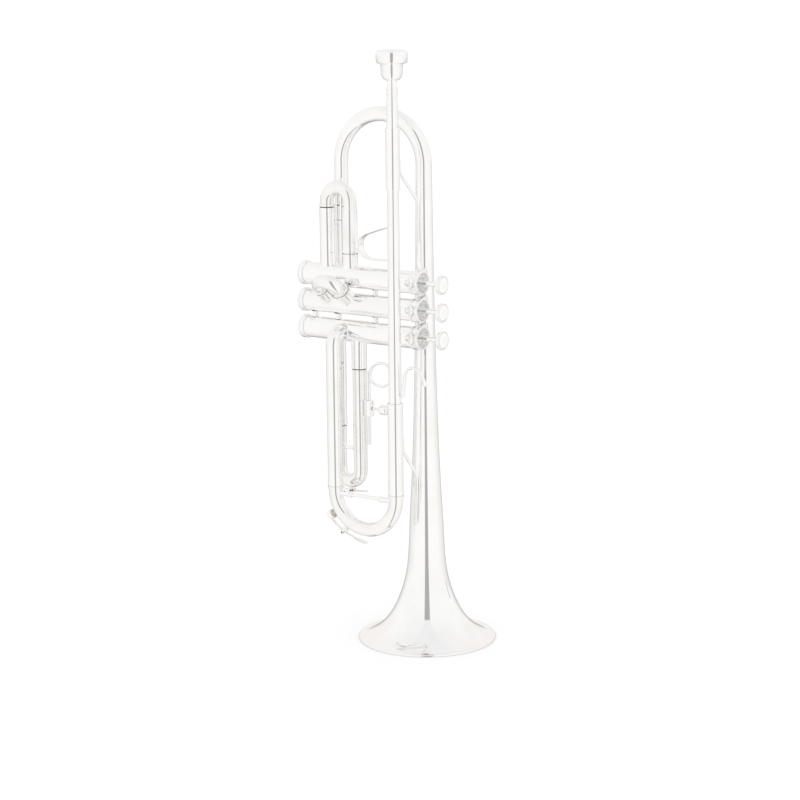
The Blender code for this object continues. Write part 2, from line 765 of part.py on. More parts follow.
def smooth_path(points, steps):
    """(point, direction) pairs along a Catmull-Rom curve through the given points."""
    padded = [points[0] * 2 - points[1], *points, points[-1] * 2 - points[-2]]
    places = []
    for i in range(len(points) - 1):
        a, b, c, d = padded[i : i + 4]
        for k in range(steps):
            t = k / steps
            straight = b * 2 + (c - a) * t
            bent = (a * 2 - b * 5 + c * 4 - d) * t**2 + (b * 3 - a - c * 3 + d) * t**3
            places.append((straight + bent) / 2)
    return directed([*places, points[-1]])


def strip(path, thick, width, sides=8):
    """A flat metal strip along a path in the X-Z plane."""
    stations = [(point, direction, thick / 2, 0) for point, direction in path]
    return swept(stations, TOWARD_BELL_SIDE, sides=sides, flat=width / thick)


def thumb_saddle():
    """The U-shaped rest on the first slide, open towards the buttons and flared at its top."""
    left, plane = -51.9, VALVE_Y - 2.2
    outline = (
        (28.0, 13.3),
        (12.5, 13.0),
        (5.0, 15.0),
        (0.3, 20.6),
        (0.1, 28.5),
        (4.4, 33.5),
        (13.0, 37.0),
        (28.0, 42.1),
    )
    points = [Vector((left + across, plane, SADDLE_LOW + rise)) for across, rise in outline]
    made = finish("thumb_saddle", strip(smooth_path(points, 2), 1.5, 9.0), silver())
    bracket = bmesh.new()
    bmesh.ops.create_cube(bracket, size=1.0)
    near_face = FIRST_NEAR_X + SLEEVE_RADIUS + GAP
    bmesh.ops.scale(bracket, verts=bracket.verts, vec=(left - near_face + 0.2, 4.0, 8.0))
    middle = Vector(((left + near_face + 0.2) / 2, VALVE_Y, SADDLE_LOW + 24.0))
    bmesh.ops.translate(bracket, verts=bracket.verts, vec=middle)
    join(made, bracket)
    return made


def finger_hook():
    """The little-finger hook on the leadpipe, open downwards."""
    radius, lean = 8.9, 8.0
    centre = Vector((15.8, LEAD_Y, 245.5))
    start = bow_point(centre, radius, 180.0 - lean)
    over = arc(centre, start, TOWARD_BELL_SIDE, 180.0 - lean - 25.0, 8)
    root = Vector((LEAD_X + 5.65 + GAP + 1.6, LEAD_Y, 226.0))
    tip = over[-1][0] + over[-1][1] * 11.0
    path = [(root, over[0][1]), *over, (tip, over[-1][1])]
    return finish("finger_hook", strip(path, 2.6, 5.0), silver())


def s_brace(name, lead_top, lead_low, bell_high, bell_low, lead_radius):
    """A double-curved rod that leaves the leadpipe, crosses over and lies down the bell."""
    rod, steps = 1.5, 16
    lead_y = LEAD_Y + lead_radius + GAP + rod
    places = []
    for k in range(steps + 1):
        height = lead_top + (bell_low - lead_top) * k / steps
        across = min(1.0, max(0.0, (lead_low - height) / (lead_low - bell_high)))
        blend = across * across * (3 - 2 * across)
        bell_y = -bell_bore(height) - BELL_WALL - GAP - rod - 0.3
        places.append(Vector((S_BRACE_X * (1 - blend), lead_y + (bell_y - lead_y) * blend, height)))
    stations = [(point, direction, rod, 0) for point, direction in directed(places)]
    return finish(name, swept(stations, TOWARD_BUTTONS, sides=8), silver())


def finger_ring():
    """The third-slide ring, turned a little outwards on the rod that its clamp holds."""
    across = Vector((cos(RING_TURN), sin(RING_TURN), 0.0))
    normal = across.cross(UP)
    low = Vector((RING_X, VALVE_Y, RING_ROD_LOW))
    centre = Vector((RING_X, VALVE_Y, RING_Z)) + across * (RING_RADIUS + 1.6)
    mesh_data = bmesh.new()
    rings = []
    for point, direction in arc(centre, centre + across * RING_RADIUS, normal, 360, 20)[:-1]:
        rings.append(ring_of(mesh_data, point, normal, direction.cross(normal).normalized(), 1.2, 8, 2.2))
    skin(mesh_data, rings, True)
    made = finish("finger_ring", mesh_data, silver(), origin=low)
    join(made, cylinder(low, UP, RING_Z + 2.0 - RING_ROD_LOW, RING_ROD_RADIUS, 10))
    return made


def ring_block():
    """The clamp block on the third slide's near leg that the ring's rod passes through."""
    block = bmesh.new()
    bmesh.ops.create_cube(block, size=1.0)
    left = THIRD_NEAR_X + CROOK_RADIUS + GAP
    right = RING_X + RING_ROD_RADIUS + 2.2
    middle = Vector(((left + right) / 2, VALVE_Y, RING_CLAMP_Z))
    bmesh.ops.scale(block, verts=block.verts, vec=(right - left, 7.0, 14.5))
    bmesh.ops.translate(block, verts=block.verts, vec=middle)
    made = finish("ring_block", block, silver(), smooth=False)
    cut_cylinder(made, Vector((RING_X, VALVE_Y, RING_CLAMP_Z - 15)), UP, 30.0, RING_ROD_RADIUS + GAP + 0.1, 10)
    cut_cylinder(made, Vector((RING_X, VALVE_Y, RING_CLAMP_Z)), TOWARD_BUTTONS, 12.0, 1.3 + GAP, 8)
    return made


def ring_screw():
    """The round-headed screw that locks the ring's rod."""
    start = Vector((RING_X + RING_ROD_RADIUS + GAP, VALVE_Y, RING_CLAMP_Z))
    profile = [(0, 1.3), (9.6, 1.3), (10.0, 3.0), (11.4, 4.4), (17.0, 4.4), (18.6, 2.8)]
    return finish("ring_screw", turned(profile, start, TOWARD_BUTTONS, 14, hollow=False), silver(), origin=start)


# ---- water keys -----------------------------------------------------------------------------
def bow_point(centre, radius, degrees):
    """A point in the plane of a bow, at an angle measured from +X towards +Z."""
    return centre + Vector((cos(degrees * pi / 180), 0.0, sin(degrees * pi / 180))) * radius


def water_hole(crook_object, middle, half, degrees, radius, rise):
    """The short nipple that a water key's pad closes."""
    outward = bow_point(middle, 1.0, degrees) - middle
    start = middle + outward * (half + CROOK_RADIUS - 0.6)
    profile = [(0, radius), (rise, radius * 0.8)]
    join(crook_object, turned(profile, start, outward, 10, hollow=False))


def key_saddle(crook_object, middle, half, degrees, rise, spread):
    """Two posts on the outside of a bow, with the pin that a water key turns on."""
    outward = bow_point(middle, 1.0, degrees) - middle
    sunk = 1.9
    foot = middle + outward * (half + CROOK_RADIUS - sunk)
    for way in (-1, 1):
        post = cylinder(foot + TOWARD_BELL_SIDE * way * spread, outward, sunk + rise + 1.1, 1.0, 8)
        join(crook_object, post)
    start = foot + outward * (sunk + rise) - TOWARD_BELL_SIDE * spread
    join(crook_object, cylinder(start, TOWARD_BELL_SIDE, 2 * spread, KEY_PIN_RADIUS, 8))


def key_lever(name, centre, path, cup, pivot, width):
    """A lever along the outside of a bow, ending in a cup, with its origin and knuckle on its pivot."""
    points = [bow_point(centre, radius, degrees) for radius, degrees in path]
    made = finish(name, strip(smooth_path(points, 2), 1.8, width), silver(), origin=pivot)
    cup_start, cup_degrees, cup_radius = cup
    outward = bow_point(centre, 1.0, cup_degrees) - centre
    join(made, cylinder(centre + outward * cup_start, outward, 2.9, cup_radius, 12))
    join(made, cylinder(pivot - TOWARD_BELL_SIDE * width / 2, TOWARD_BELL_SIDE, width, 1.9, 12))
    hole = KEY_PIN_RADIUS + GAP
    cut_cylinder(made, pivot - TOWARD_BELL_SIDE * width, TOWARD_BELL_SIDE, 2 * width, hole, 10)


def main_water_key():
    """The key under the main bow, with the cork pad in its cup."""
    middle = Vector(((LEAD_X + TUNING_LOW_X) / 2, LEAD_Y, TUNING_CENTRE_Z))
    reach = (LEAD_X - TUNING_LOW_X) / 2 + CROOK_RADIUS
    pivot = bow_point(middle, reach + KEY_PIVOT_RISE, KEY_PIVOT_ANGLE)
    rises = ((7.4, 211), (6.9, 223), (KEY_PIVOT_RISE, KEY_PIVOT_ANGLE), (5.0, 250), (5.2, 259), (6.4, 271))
    path = [(reach + rise, degrees) for rise, degrees in rises]
    key_lever("water_key", middle, path, (reach + 4.9, KEY_HOLE_ANGLE, 4.5), pivot, 4.2)
    outward = bow_point(middle, 1.0, KEY_HOLE_ANGLE) - middle
    pad = cylinder(middle + outward * (reach + 2.3), outward, 2.3, 3.6, 12)
    finish("water_key_cork", pad, cork(), origin=pivot)


def third_water_key():
    """The smaller key under the third slide's bow."""
    middle = Vector(((THIRD_NEAR_X + THIRD_FAR_X) / 2, VALVE_Y, VALVE_Z[2] - THIRD_CENTRE))
    reach = (THIRD_NEAR_X - THIRD_FAR_X) / 2 + CROOK_RADIUS
    pivot = bow_point(middle, reach + THIRD_PIVOT_RISE, THIRD_PIVOT_ANGLE)
    rises = ((4.4, 226), (3.4, 245), (2.8, 262), (THIRD_PIVOT_RISE, THIRD_PIVOT_ANGLE), (4.9, 299), (8.8, 316))
    path = [(reach + rise, degrees) for rise, degrees in rises]
    key_lever("third_slide_water_key", middle, path, (reach + 1.2, THIRD_HOLE_ANGLE, 2.9), pivot, 3.0)


def build():
    clear_scene()
    bell()
    bell_bow()
    bell_tail()
    leadpipe()
    mouthpiece_receiver()
    mouthpiece()
    upper_tuning_sleeve()
    lower_tuning_sleeve()
    tuning_slide()
    tuning_slide_brace()
    valves()
    first_slide()
    second_slide()
    third_slide()
    thumb_saddle()
    finger_hook()
    s_brace("upper_s_brace", 436.0, 427.0, 388.0, 357.0, RECEIVER_RADIUS)
    s_brace("lower_s_brace", 192.0, 184.0, 146.0, 108.0, SLEEVE_RADIUS)
    finger_ring()
    ring_block()
    ring_screw()
    main_water_key()
    third_water_key()


build()
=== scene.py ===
"""The looks of the silver trumpet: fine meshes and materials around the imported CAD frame.

Every CAD node gets a finer piece of the same size, which rides on the node's body. Lengths in the
mesh code are millimetres, and each mesh is turned into metres as its object is made.
"""

import json
from math import cos, exp, hypot, pi, sin, sqrt

import bmesh
import bpy
from mathutils import Matrix, Vector


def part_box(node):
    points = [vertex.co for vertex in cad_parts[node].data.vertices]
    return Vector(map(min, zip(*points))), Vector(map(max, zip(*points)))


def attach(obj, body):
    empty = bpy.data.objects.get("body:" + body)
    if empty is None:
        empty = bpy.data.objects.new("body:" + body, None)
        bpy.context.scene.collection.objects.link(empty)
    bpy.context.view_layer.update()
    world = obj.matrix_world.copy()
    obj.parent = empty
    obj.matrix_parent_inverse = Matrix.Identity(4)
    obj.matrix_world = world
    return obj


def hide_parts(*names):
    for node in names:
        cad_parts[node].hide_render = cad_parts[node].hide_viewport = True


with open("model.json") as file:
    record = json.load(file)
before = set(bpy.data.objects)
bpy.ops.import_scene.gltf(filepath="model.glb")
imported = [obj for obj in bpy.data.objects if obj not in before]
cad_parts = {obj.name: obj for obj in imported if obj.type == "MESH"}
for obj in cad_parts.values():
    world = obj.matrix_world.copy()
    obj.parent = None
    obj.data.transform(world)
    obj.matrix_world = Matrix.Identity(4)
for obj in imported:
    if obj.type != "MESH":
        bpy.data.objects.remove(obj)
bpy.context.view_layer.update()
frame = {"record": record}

MM = 0.001
UP = Vector((0.0, 0.0, 1.0))
TO_BUTTONS = Vector((1.0, 0.0, 0.0))
TO_BELL_SIDE = Vector((0.0, 1.0, 0.0))


def span(node):
    """A CAD node's lowest and highest corners in millimetres."""
    low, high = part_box(node)
    return low / MM, high / MM


def middle_of(node):
    low, high = span(node)
    return (low + high) / 2


# ---- places taken from the frame ----
LEAD = middle_of("leadpipe")
LEAD_X, LEAD_Y = LEAD.x, LEAD.y
VALVE_Y = middle_of("valve_casing_2").y
VALVE_Z = [middle_of(f"valve_casing_{number + 1}").z for number in range(3)]
BELL_TOP = span("bell")[1].z
RIM_RADIUS = span("bell")[1].x
FIRST_NEAR_X = middle_of("first_slide_near_tube").x
FIRST_FAR_X = middle_of("first_slide_far_sleeve").x
SECOND_NEAR_X = middle_of("second_slide_near_sleeve").x
SECOND_FAR_X = middle_of("second_slide_far_sleeve").x
THIRD_NEAR_X = middle_of("third_slide_near_sleeve").x
THIRD_FAR_X = middle_of("third_slide_far_sleeve").x
TUNING_LOW_X = middle_of("lower_tuning_sleeve").x
SLEEVE_LOW = span("upper_tuning_sleeve")[0].z
SLEEVE_TOP = span("upper_tuning_sleeve")[1].z

# ---- shared sizes ----
GAP = 0.3
JOINT_GAP = 0.8
WALL = 0.6

BORE = 5.83
CROOK_RADIUS = 6.15
RECEIVER_RADIUS = 6.15
SLEEVE_BORE = 6.45
SLEEVE_RADIUS = 6.75
FERRULE_RADIUS = 7.0
FERRULE_LENGTH = 3.6
FLARE = 0.5
TAIL_RADIUS = 5.95
TAIL_BORE = 5.35

CASING_RADIUS = 9.8
CASING_BORE = 8.7
CAP_RADIUS = 10.75
CAP_BORE = CASING_RADIUS + 0.03
CAP_AIR_HOLE = 1.3
DISH_EDGE = 1.7
STEM_RADIUS = 2.4
STEM_HOLE = 3.0
STEM_EDGE = STEM_RADIUS + 0.1
BUTTON_RADIUS = 8.4
BUTTON_THICK = 4.4
PEARL_RADIUS = 6.9
BARREL_RADIUS = 7.4
BARREL_BORE = 6.7
BARREL_LOW_X = -40.0
PISTON_RADIUS = 8.4
PORT_RADIUS = 5.8
PORT_X = (-83.0, -66.0)
STROKE = 15.6
GUIDE_THICK = 3.0
GUIDE_LOW_X = -36.0
GUIDE_ROOM = 0.7
FELT_RADIUS = 6.0

# How far the slides' bows and the mouths of their sleeves stand off the valves' axes.
FIRST_CENTRE = 65.8
FIRST_FIXED_RING = 20.4
FIRST_FIXED_TOP = 56.0
FIRST_MOUTH = 59.8
SECOND_CENTRE = 23.5
SECOND_MOUTH = 20.5
SECOND_TILT = 40.0 * pi / 180
THIRD_CENTRE = 125.8
THIRD_NEAR_MOUTH = 33.0
THIRD_FAR_MOUTH = 86.5
THIRD_POST_Z = 170.0
TUNING_CENTRE_Z = 136.4
BOW_LEG = Vector((-84.6, -4.5, 0.0))
UPPER_BRACE_BEND = (427.0, 388.0)
LOWER_BRACE_BEND = (184.0, 146.0)

# The water keys' pads and pivots go by angles round their bows.
MAIN_PAD_ANGLE = 213.0
MAIN_PIVOT_ANGLE = 238.0
MAIN_PIVOT_RISE = 5.8
MAIN_EAR_SPREAD = 3.5
THIRD_PAD_ANGLE = 226.0
THIRD_PIVOT_ANGLE = 276.0
THIRD_PIVOT_RISE = 2.7
THIRD_EAR_SPREAD = 2.9

RING_TURN = 18.0 * pi / 180
RING_ROD_RADIUS = 2.0

BELL_SIDES = 144
CASING_SIDES = 96
KNURL_SIDES = 192
BUTTON_SIDES = 64
TUBE_SIDES = 48
ROD_SIDES = 24
SCREW_SIDES = 72
BOW_STEPS = 36
PIECE_SHARP = 42.0
CUT_SHARP = 30.0
NOISE_LOW = 0.35
NOISE_HIGH = 0.65


# ---- materials ----
class Nodes:
    """A node tree, with short ways to add to it."""

    def __init__(self, tree):
        self.tree = tree

    def node(self, kind, **settings):
        made = self.tree.nodes.new(kind)
        for key, value in settings.items():
            setattr(made, key, value)
        return made

    def feed(self, socket, value):
        """Links a node's output to a socket, or sets the socket to a constant."""
        if isinstance(value, bpy.types.NodeSocket):
            self.tree.links.new(value, socket)
        else:
            socket.default_value = value

    def ramp(self, source, stops):
        """A ramp of (position, colour) stops, where a plain number stands for a grey."""
        made = self.node("ShaderNodeValToRGB")
        elements = made.color_ramp.elements
        while len(elements) < len(stops):
            elements.new(0.5)
        for element, (position, colour) in zip(elements, stops):
            element.position = position
            element.color = (*colour, 1.0) if isinstance(colour, tuple) else (colour, colour, colour, 1.0)
        self.feed(made.inputs["Fac"], source)
        return made.outputs["Color"]

    def remap(self, source, start, end, low=0.0, high=1.0):
        """Turns start into low and end into high, straight between them and level beyond."""
        made = self.node("ShaderNodeMapRange")
        for name, value in (("From Min", start), ("From Max", end), ("To Min", low), ("To Max", high)):
            made.inputs[name].default_value = value
        self.feed(made.inputs["Value"], source)
        return made.outputs["Result"]

    def mix(self, factor, first, second, blend="MIX"):
        """Mixes two colours."""
        made = self.node("ShaderNodeMix", data_type="RGBA", blend_type=blend)
        for value, name in ((factor, "Factor"), (first, "A"), (second, "B")):
            self.feed([spot for spot in made.inputs if spot.name == name and spot.enabled][0], value)
        return [spot for spot in made.outputs if spot.enabled][0]

    def math(self, operation, *values):
        """A math node over one to three numbers."""
        made = self.node("ShaderNodeMath", operation=operation)
        for socket, value in zip(made.inputs, values):
            self.feed(socket, value)
        return made.outputs["Value"]

    def vector(self, operation, *values):
        """A vector math node over one or two vectors."""
        made = self.node("ShaderNodeVectorMath", operation=operation)
        for socket, value in zip(made.inputs, values):
            self.feed(socket, value)
        return made.outputs["Value" if operation == "DOT_PRODUCT" else "Vector"]


class Shader(Nodes):
    """A material, whose fine detail is laid out in the piece's own metres."""

    def __init__(self, name):
        self.material = bpy.data.materials.new(name)
        self.material.use_nodes = True
        super().__init__(self.material.node_tree)
        self.surface = self.tree.nodes["Principled BSDF"]
        self.place = self.node("ShaderNodeTexCoord").outputs["Object"]

    def set(self, **values):
        """Feeds the surface's sockets, named with _ for each space."""
        for key, value in values.items():
            self.feed(self.surface.inputs[key.replace("_", " ")], value)

    def noise(self, scale, detail, stretch=None):
        """Noise with so many features per metre, stretched along an axis if asked."""
        made = self.node("ShaderNodeTexNoise")
        made.inputs["Scale"].default_value = scale
        made.inputs["Detail"].default_value = detail
        source = self.place
        if stretch:
            mapping = self.node("ShaderNodeMapping")
            mapping.inputs["Scale"].default_value = stretch
            self.feed(mapping.inputs["Vector"], source)
            source = mapping.outputs["Vector"]
        self.feed(made.inputs["Vector"], source)
        return made.outputs["Fac"]

    def vary(self, pattern, low, high):
        """Spreads a noise's usual values over a range."""
        return self.remap(pattern, NOISE_LOW, NOISE_HIGH, low, high)

    def bump(self, height, strength, distance):
        made = self.node("ShaderNodeBump")
        made.inputs["Strength"].default_value = strength
        made.inputs["Distance"].default_value = distance
        self.feed(made.inputs["Height"], height)
        self.set(Normal=made.outputs["Normal"])


def polished(name, light, dark, smooth, rough, wave):
    """Polished plate: faint warm tarnish in clouds, smudged roughness and buffing waves."""
    shader = Shader(name)
    clouds = shader.noise(45.0, 6.0)
    smudge = shader.noise(160.0, 8.0)
    shader.set(Metallic=1.0, Base_Color=shader.ramp(clouds, [(0.4, light), (0.66, dark)]))
    shader.set(Roughness=shader.vary(smudge, smooth, rough))
    shader.bump(shader.noise(90.0, 3.0), wave, 0.0004)
    return shader.material


def grained(name, grain, tints, rough, relief=None, **values):
    """A material whose colour, roughness and relief all follow one noise.

    The grain is what noise() takes, the tints are a ramp's stops, the roughness is one value or a
    range, and the relief is a strength and a depth in metres.
    """
    shader = Shader(name)
    pattern = shader.noise(*grain)
    shader.set(Base_Color=shader.ramp(pattern, tints), **values)
    shader.set(Roughness=shader.vary(pattern, *rough) if isinstance(rough, tuple) else rough)
    if relief:
        shader.bump(pattern, *relief)
    return shader.material


def make_silver():
    return polished("silver_plate_fine", (0.99, 0.988, 0.984), (0.965, 0.958, 0.945), 0.03, 0.09, 0.05)


def make_slide_silver():
    return polished("silver_slide_fine", (0.98, 0.976, 0.966), (0.945, 0.928, 0.90), 0.05, 0.13, 0.07)


def make_monel():
    """Turned monel, with lapping lines round the piston."""
    lines = (60.0, 5.0, (90.0, 1.0, 1.0))
    tints = [(0.3, (0.60, 0.59, 0.56)), (0.7, (0.72, 0.71, 0.68))]
    return grained("monel_fine", lines, tints, (0.18, 0.34), (0.15, 0.0001), Metallic=1.0)


def make_spring_steel():
    tints = [(0.3, (0.34, 0.34, 0.36)), (0.7, (0.52, 0.52, 0.54))]
    return grained("spring_steel_fine", (900.0, 4.0), tints, (0.25, 0.42), Metallic=1.0)


def make_pearl():
    """Mother-of-pearl: slow pale swirls of pink and green under a clear polish."""
    swirl = (230.0, 3.0, (1.0, 0.45, 1.6))
    tints = [(0.3, (0.90, 0.91, 0.90)), (0.45, (0.95, 0.93, 0.92))]
    tints += [(0.58, (0.89, 0.92, 0.90)), (0.7, (0.95, 0.95, 0.93))]
    polish = {"Coat_Weight": 0.6, "Coat_Roughness": 0.06, "Specular_IOR_Level": 0.6}
    return grained("pearl_fine", swirl, tints, (0.14, 0.26), **polish)


def make_felt():
    tints = [(0.3, (0.62, 0.61, 0.58)), (0.7, (0.86, 0.85, 0.82))]
    return grained("felt_fine", (2600.0, 8.0), tints, 0.95, (0.8, 0.0004), Sheen_Weight=0.5)


def make_cork():
    """Cork: pale grains with darker pits between them."""
    shader = Shader("cork_fine")
    cells = shader.node("ShaderNodeTexVoronoi")
    cells.inputs["Scale"].default_value = 1300.0
    shader.feed(cells.inputs["Vector"], shader.place)
    tint = shader.ramp(cells.outputs["Distance"], [(0.1, (0.50, 0.46, 0.40)), (0.6, (0.76, 0.72, 0.64))])
    shader.set(Base_Color=tint, Roughness=0.85)
    shader.bump(cells.outputs["Distance"], 0.6, 0.0003)
    return shader.material


def make_nylon():
    tints = [(0.35, (0.84, 0.83, 0.79)), (0.65, (0.90, 0.89, 0.86))]
    return grained("nylon_fine", (700.0, 5.0), tints, (0.42, 0.55), Subsurface_Weight=0.1)


def make_painted_joint_shade():
    """Painted shade: the near-black band where a leg enters its sleeve, standing in for the shade in the
    gap.
    """
    tints = [(0.35, (0.05, 0.05, 0.045)), (0.65, (0.13, 0.125, 0.115))]
    return grained("painted_joint_shade_fine", (1200.0, 4.0), tints, (0.35, 0.6), Metallic=0.7)


def make_chased_silver():
    """The dished faces of the top caps: plate chased with a fine mottled pattern."""
    tints = [(0.38, (0.66, 0.66, 0.65)), (0.66, (0.98, 0.98, 0.96))]
    return grained("chased_silver_fine", (700.0, 2.0), tints, (0.16, 0.24), (0.08, 0.0002), Metallic=1.0)


LOOKS = {
    "silver_plate": make_silver(),
    "silver_slide_tube": make_slide_silver(),
    "monel": make_monel(),
    "spring_steel": make_spring_steel(),
    "pearl": make_pearl(),
    "felt": make_felt(),
    "cork": make_cork(),
    "nylon": make_nylon(),
}
# Painted shade, near-black, for the slide joints' gaps and the water keys' pins.
PAINTED_JOINT_SHADE = make_painted_joint_shade()
CHASED_SILVER = make_chased_silver()
SLOT_OF = {entry["node"]: entry["material_slot"] for entry in frame["record"]["subparts"]}
BODY_OF = {
    node: body for body, members in frame["record"]["behaviour"]["bodies"].items() for node in members
}


# ---- mesh helpers ----
def to_mesh(name, mesh_data):
    """Turns a bmesh into a mesh of that name and frees it."""
    mesh = bpy.data.meshes.new(name)
    mesh_data.to_mesh(mesh)
    mesh_data.free()
    return mesh


def add_object(name, data):
    made = bpy.data.objects.new(name, data)
    bpy.context.scene.collection.objects.link(made)
    return made


def to_metres(mesh_data):
    """Scales a bmesh from millimetres and turns its faces outward."""
    bmesh.ops.scale(mesh_data, verts=mesh_data.verts, vec=(MM, MM, MM))
    bmesh.ops.recalc_face_normals(mesh_data, faces=mesh_data.faces)


def shade(mesh, sharp_degrees):
    """Smooth shading, except over edges that turn more than an angle."""
    mesh.shade_smooth()
    mesh.set_sharp_from_angle(angle=sharp_degrees * pi / 180)


def finish_piece(node, mesh_data, origin=Vector((0.0, 0.0, 0.0))):
    """Turns a bmesh in millimetres into the piece that stands for a CAD node."""
    bmesh.ops.translate(mesh_data, verts=mesh_data.verts, vec=-origin)
    to_metres(mesh_data)
    name = f"{node}_fine"
    mesh = to_mesh(name, mesh_data)
    shade(mesh, PIECE_SHARP)
    mesh.materials.append(LOOKS[SLOT_OF[node]])
    made = add_object(name, mesh)
    made.location = origin * MM
    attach(made, BODY_OF[node])
    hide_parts(node)
    return made


def cut(piece, mesh_data):
    """Cuts a shape out of a piece with one exact boolean."""
    to_metres(mesh_data)
    tool = add_object("cutter", to_mesh("cutter", mesh_data))
    bpy.context.view_layer.update()
    change = piece.modifiers.new("cut", "BOOLEAN")
    change.operation = "DIFFERENCE"
    change.solver = "EXACT"
    change.object = tool
    graph = bpy.context.evaluated_depsgraph_get()
    result = bpy.data.meshes.new_from_object(piece.evaluated_get(graph))
    piece.modifiers.clear()
    piece.data = result
    bpy.data.objects.remove(tool, do_unlink=True)


def repaint(piece, look, test):
    """Gives a look to the faces whose centre, in millimetres, passes a test."""
    if len(piece.data.materials) == 1:
        piece.data.materials.append(look)
    for face in piece.data.polygons:
        if test(face.center / MM + piece.location / MM):
            face.material_index = 1


def darken_pin(piece, pivot, spread):
    """Paints shade onto the pin that a water key turns on, between its ears, in the joint shade's
    near-black.
    """

    def on_pin(place):
        radial = Vector((place.x - pivot.x, 0.0, place.z - pivot.z))
        return radial.length < 1.0 and abs(place.y - pivot.y) < spread + 1.3

    repaint(piece, PAINTED_JOINT_SHADE, on_pin)


def frame_about(axis):
    """Two unit vectors square to the axis and to each other."""
    helper = UP if abs(axis.z) < 0.9 else TO_BUTTONS
    side = axis.cross(helper).normalized()
    return side, axis.cross(side).normalized()


def ring_of(mesh_data, centre, side, other, radius, sides, flat=1.0):
    ring = []
    for k in range(sides):
        angle = 2 * pi * k / sides
        offset = side * (radius * flat * cos(angle)) + other * (radius * sin(angle))
        ring.append(mesh_data.verts.new(centre + offset))
    return ring


def skin(mesh_data, rings, closed):
    """Quads between neighbouring rings; the last joins the first when closed."""
    count = len(rings) if closed else len(rings) - 1
    for i in range(count):
        first, second = rings[i], rings[(i + 1) % len(rings)]
        for k in range(len(first)):
            after = (k + 1) % len(first)
            mesh_data.faces.new((first[k], first[after], second[after], second[k]))


def cap_ends(mesh_data, rings):
    mesh_data.faces.new(rings[0])
    mesh_data.faces.new(rings[-1])


def soften(points, radius=0.25, steps=3, closed=True):
    """Rounds the corners of an outline of (along, radius) points."""
    count = len(points)
    rounded = []
    for i, point in enumerate(points):
        here = Vector(point)
        if not closed and i in (0, count - 1):
            rounded.append(point)
            continue
        before, after = Vector(points[i - 1]) - here, Vector(points[(i + 1) % count]) - here
        if before.length < 1e-6 or after.length < 1e-6 or before.angle(after) > 2.85:
            rounded.append(point)
            continue
        reach = min(radius, before.length * 0.45, after.length * 0.45)
        start, end = here + before.normalized() * reach, here + after.normalized() * reach
        for k in range(steps + 1):
            t = k / steps
            spot = start * (1 - t) ** 2 + here * 2 * t * (1 - t) + end * t * t
            rounded.append((spot.x, spot.y))
    return hold_edges(rounded, closed)


def hold_edges(points, closed, inset=0.12):
    """Adds points near both ends of long straight runs, so that flats stay flat when shaded."""
    held = []
    count = len(points) if closed else len(points) - 1
    for i in range(count):
        here, after = Vector(points[i]), Vector(points[(i + 1) % len(points)])
        held.append(points[i])
        run = after - here
        if run.length > 6 * inset:
            step = run.normalized() * inset
            held += [tuple(here + step), tuple(after - step)]
    if not closed:
        held.append(points[-1])
    return held


def lathe(profile, start, axis, sides, closed=True, mesh_data=None):
    """A solid of revolution from (distance along the axis, radius) points."""
    mesh_data = mesh_data or bmesh.new()
    side, other = frame_about(axis)
    rings = []
    for along, radius in profile:
        rings.append(ring_of(mesh_data, start + axis * along, side, other, radius, sides))
    skin(mesh_data, rings, closed)
    if not closed:
        cap_ends(mesh_data, rings)
    return mesh_data


def sweep(stations, normal, sides=TUBE_SIDES, flat=1.0, mesh_data=None):
    """A tube along a flat path. Each station is (point, direction, outer radius, bore radius)."""
    mesh_data = mesh_data or bmesh.new()
    outer, inner = [], []
    for point, direction, radius, bore in stations:
        other = direction.cross(normal).normalized()
        outer.append(ring_of(mesh_data, point, normal, other, radius, sides, flat))
        if bore:
            inner.append(ring_of(mesh_data, point, normal, other, bore, sides, flat))
    if inner:
        skin(mesh_data, outer + inner[::-1], True)
    else:
        skin(mesh_data, outer, False)
        cap_ends(mesh_data, outer)
    return mesh_data


def arc(centre, start, turn_axis, degrees, steps):
    """(point, direction) pairs round a centre, from the start point."""
    spoke = start - centre
    found = []
    for k in range(steps + 1):
        turned_spoke = Matrix.Rotation(degrees * k / steps * pi / 180, 3, turn_axis) @ spoke
        found.append((centre + turned_spoke, turn_axis.cross(turned_spoke).normalized()))
    return found


def directed(places):
    """(point, direction) pairs for points in order along a path."""
    found = []
    for k, place in enumerate(places):
        before, after = places[max(0, k - 1)], places[min(len(places) - 1, k + 1)]
        found.append((place, (after - before).normalized()))
    return found


def smooth_path(points, steps):
    """(point, direction) pairs along a Catmull-Rom curve through the given points."""
    padded = [points[0] * 2 - points[1], *points, points[-1] * 2 - points[-2]]
    places = []
    for i in range(len(points) - 1):
        a, b, c, d = padded[i : i + 4]
        for k in range(steps):
            t = k / steps
            straight = b * 2 + (c - a) * t
            bent = (a * 2 - b * 5 + c * 4 - d) * t**2 + (b * 3 - a - c * 3 + d) * t**3
            places.append((straight + bent) / 2)
    return directed([*places, points[-1]])


def land_on_casing(verts, away, number):
    """Slides each vertex along a direction onto the outside of a casing."""
    centre = Vector((VALVE_Y, VALVE_Z[number]))
    flat_away = Vector((away.y, away.z))
    reach = CASING_RADIUS - 0.25
    for vert in verts:
        offset = Vector((vert.co.y, vert.co.z)) - centre
        along = offset.dot(flat_away)
        inside = max(0.0, along * along - offset.length_squared + reach * reach)
        vert.co += away * (sqrt(inside) - along)


def collar(low, high, inner, outer):
    """(along, radius) points of a rounded ring that stands out from a tube."""
    step = min(0.5, (high - low) * 0.3)
    rise = outer - inner
    corner = ((0.0, 0.0), (0.0, 0.6), (step * 0.3, 0.88), (step, 1.0))
    rising = [(low + along, inner + rise * part) for along, part in corner]
    falling = [(high - along, inner + rise * part) for along, part in reversed(corner)]
    return rising + falling


def bow_point(centre, radius, degrees):
    """A point in the plane of a bow, at an angle measured from +X towards +Z."""
    return centre + Vector((cos(degrees * pi / 180), 0.0, sin(degrees * pi / 180))) * radius


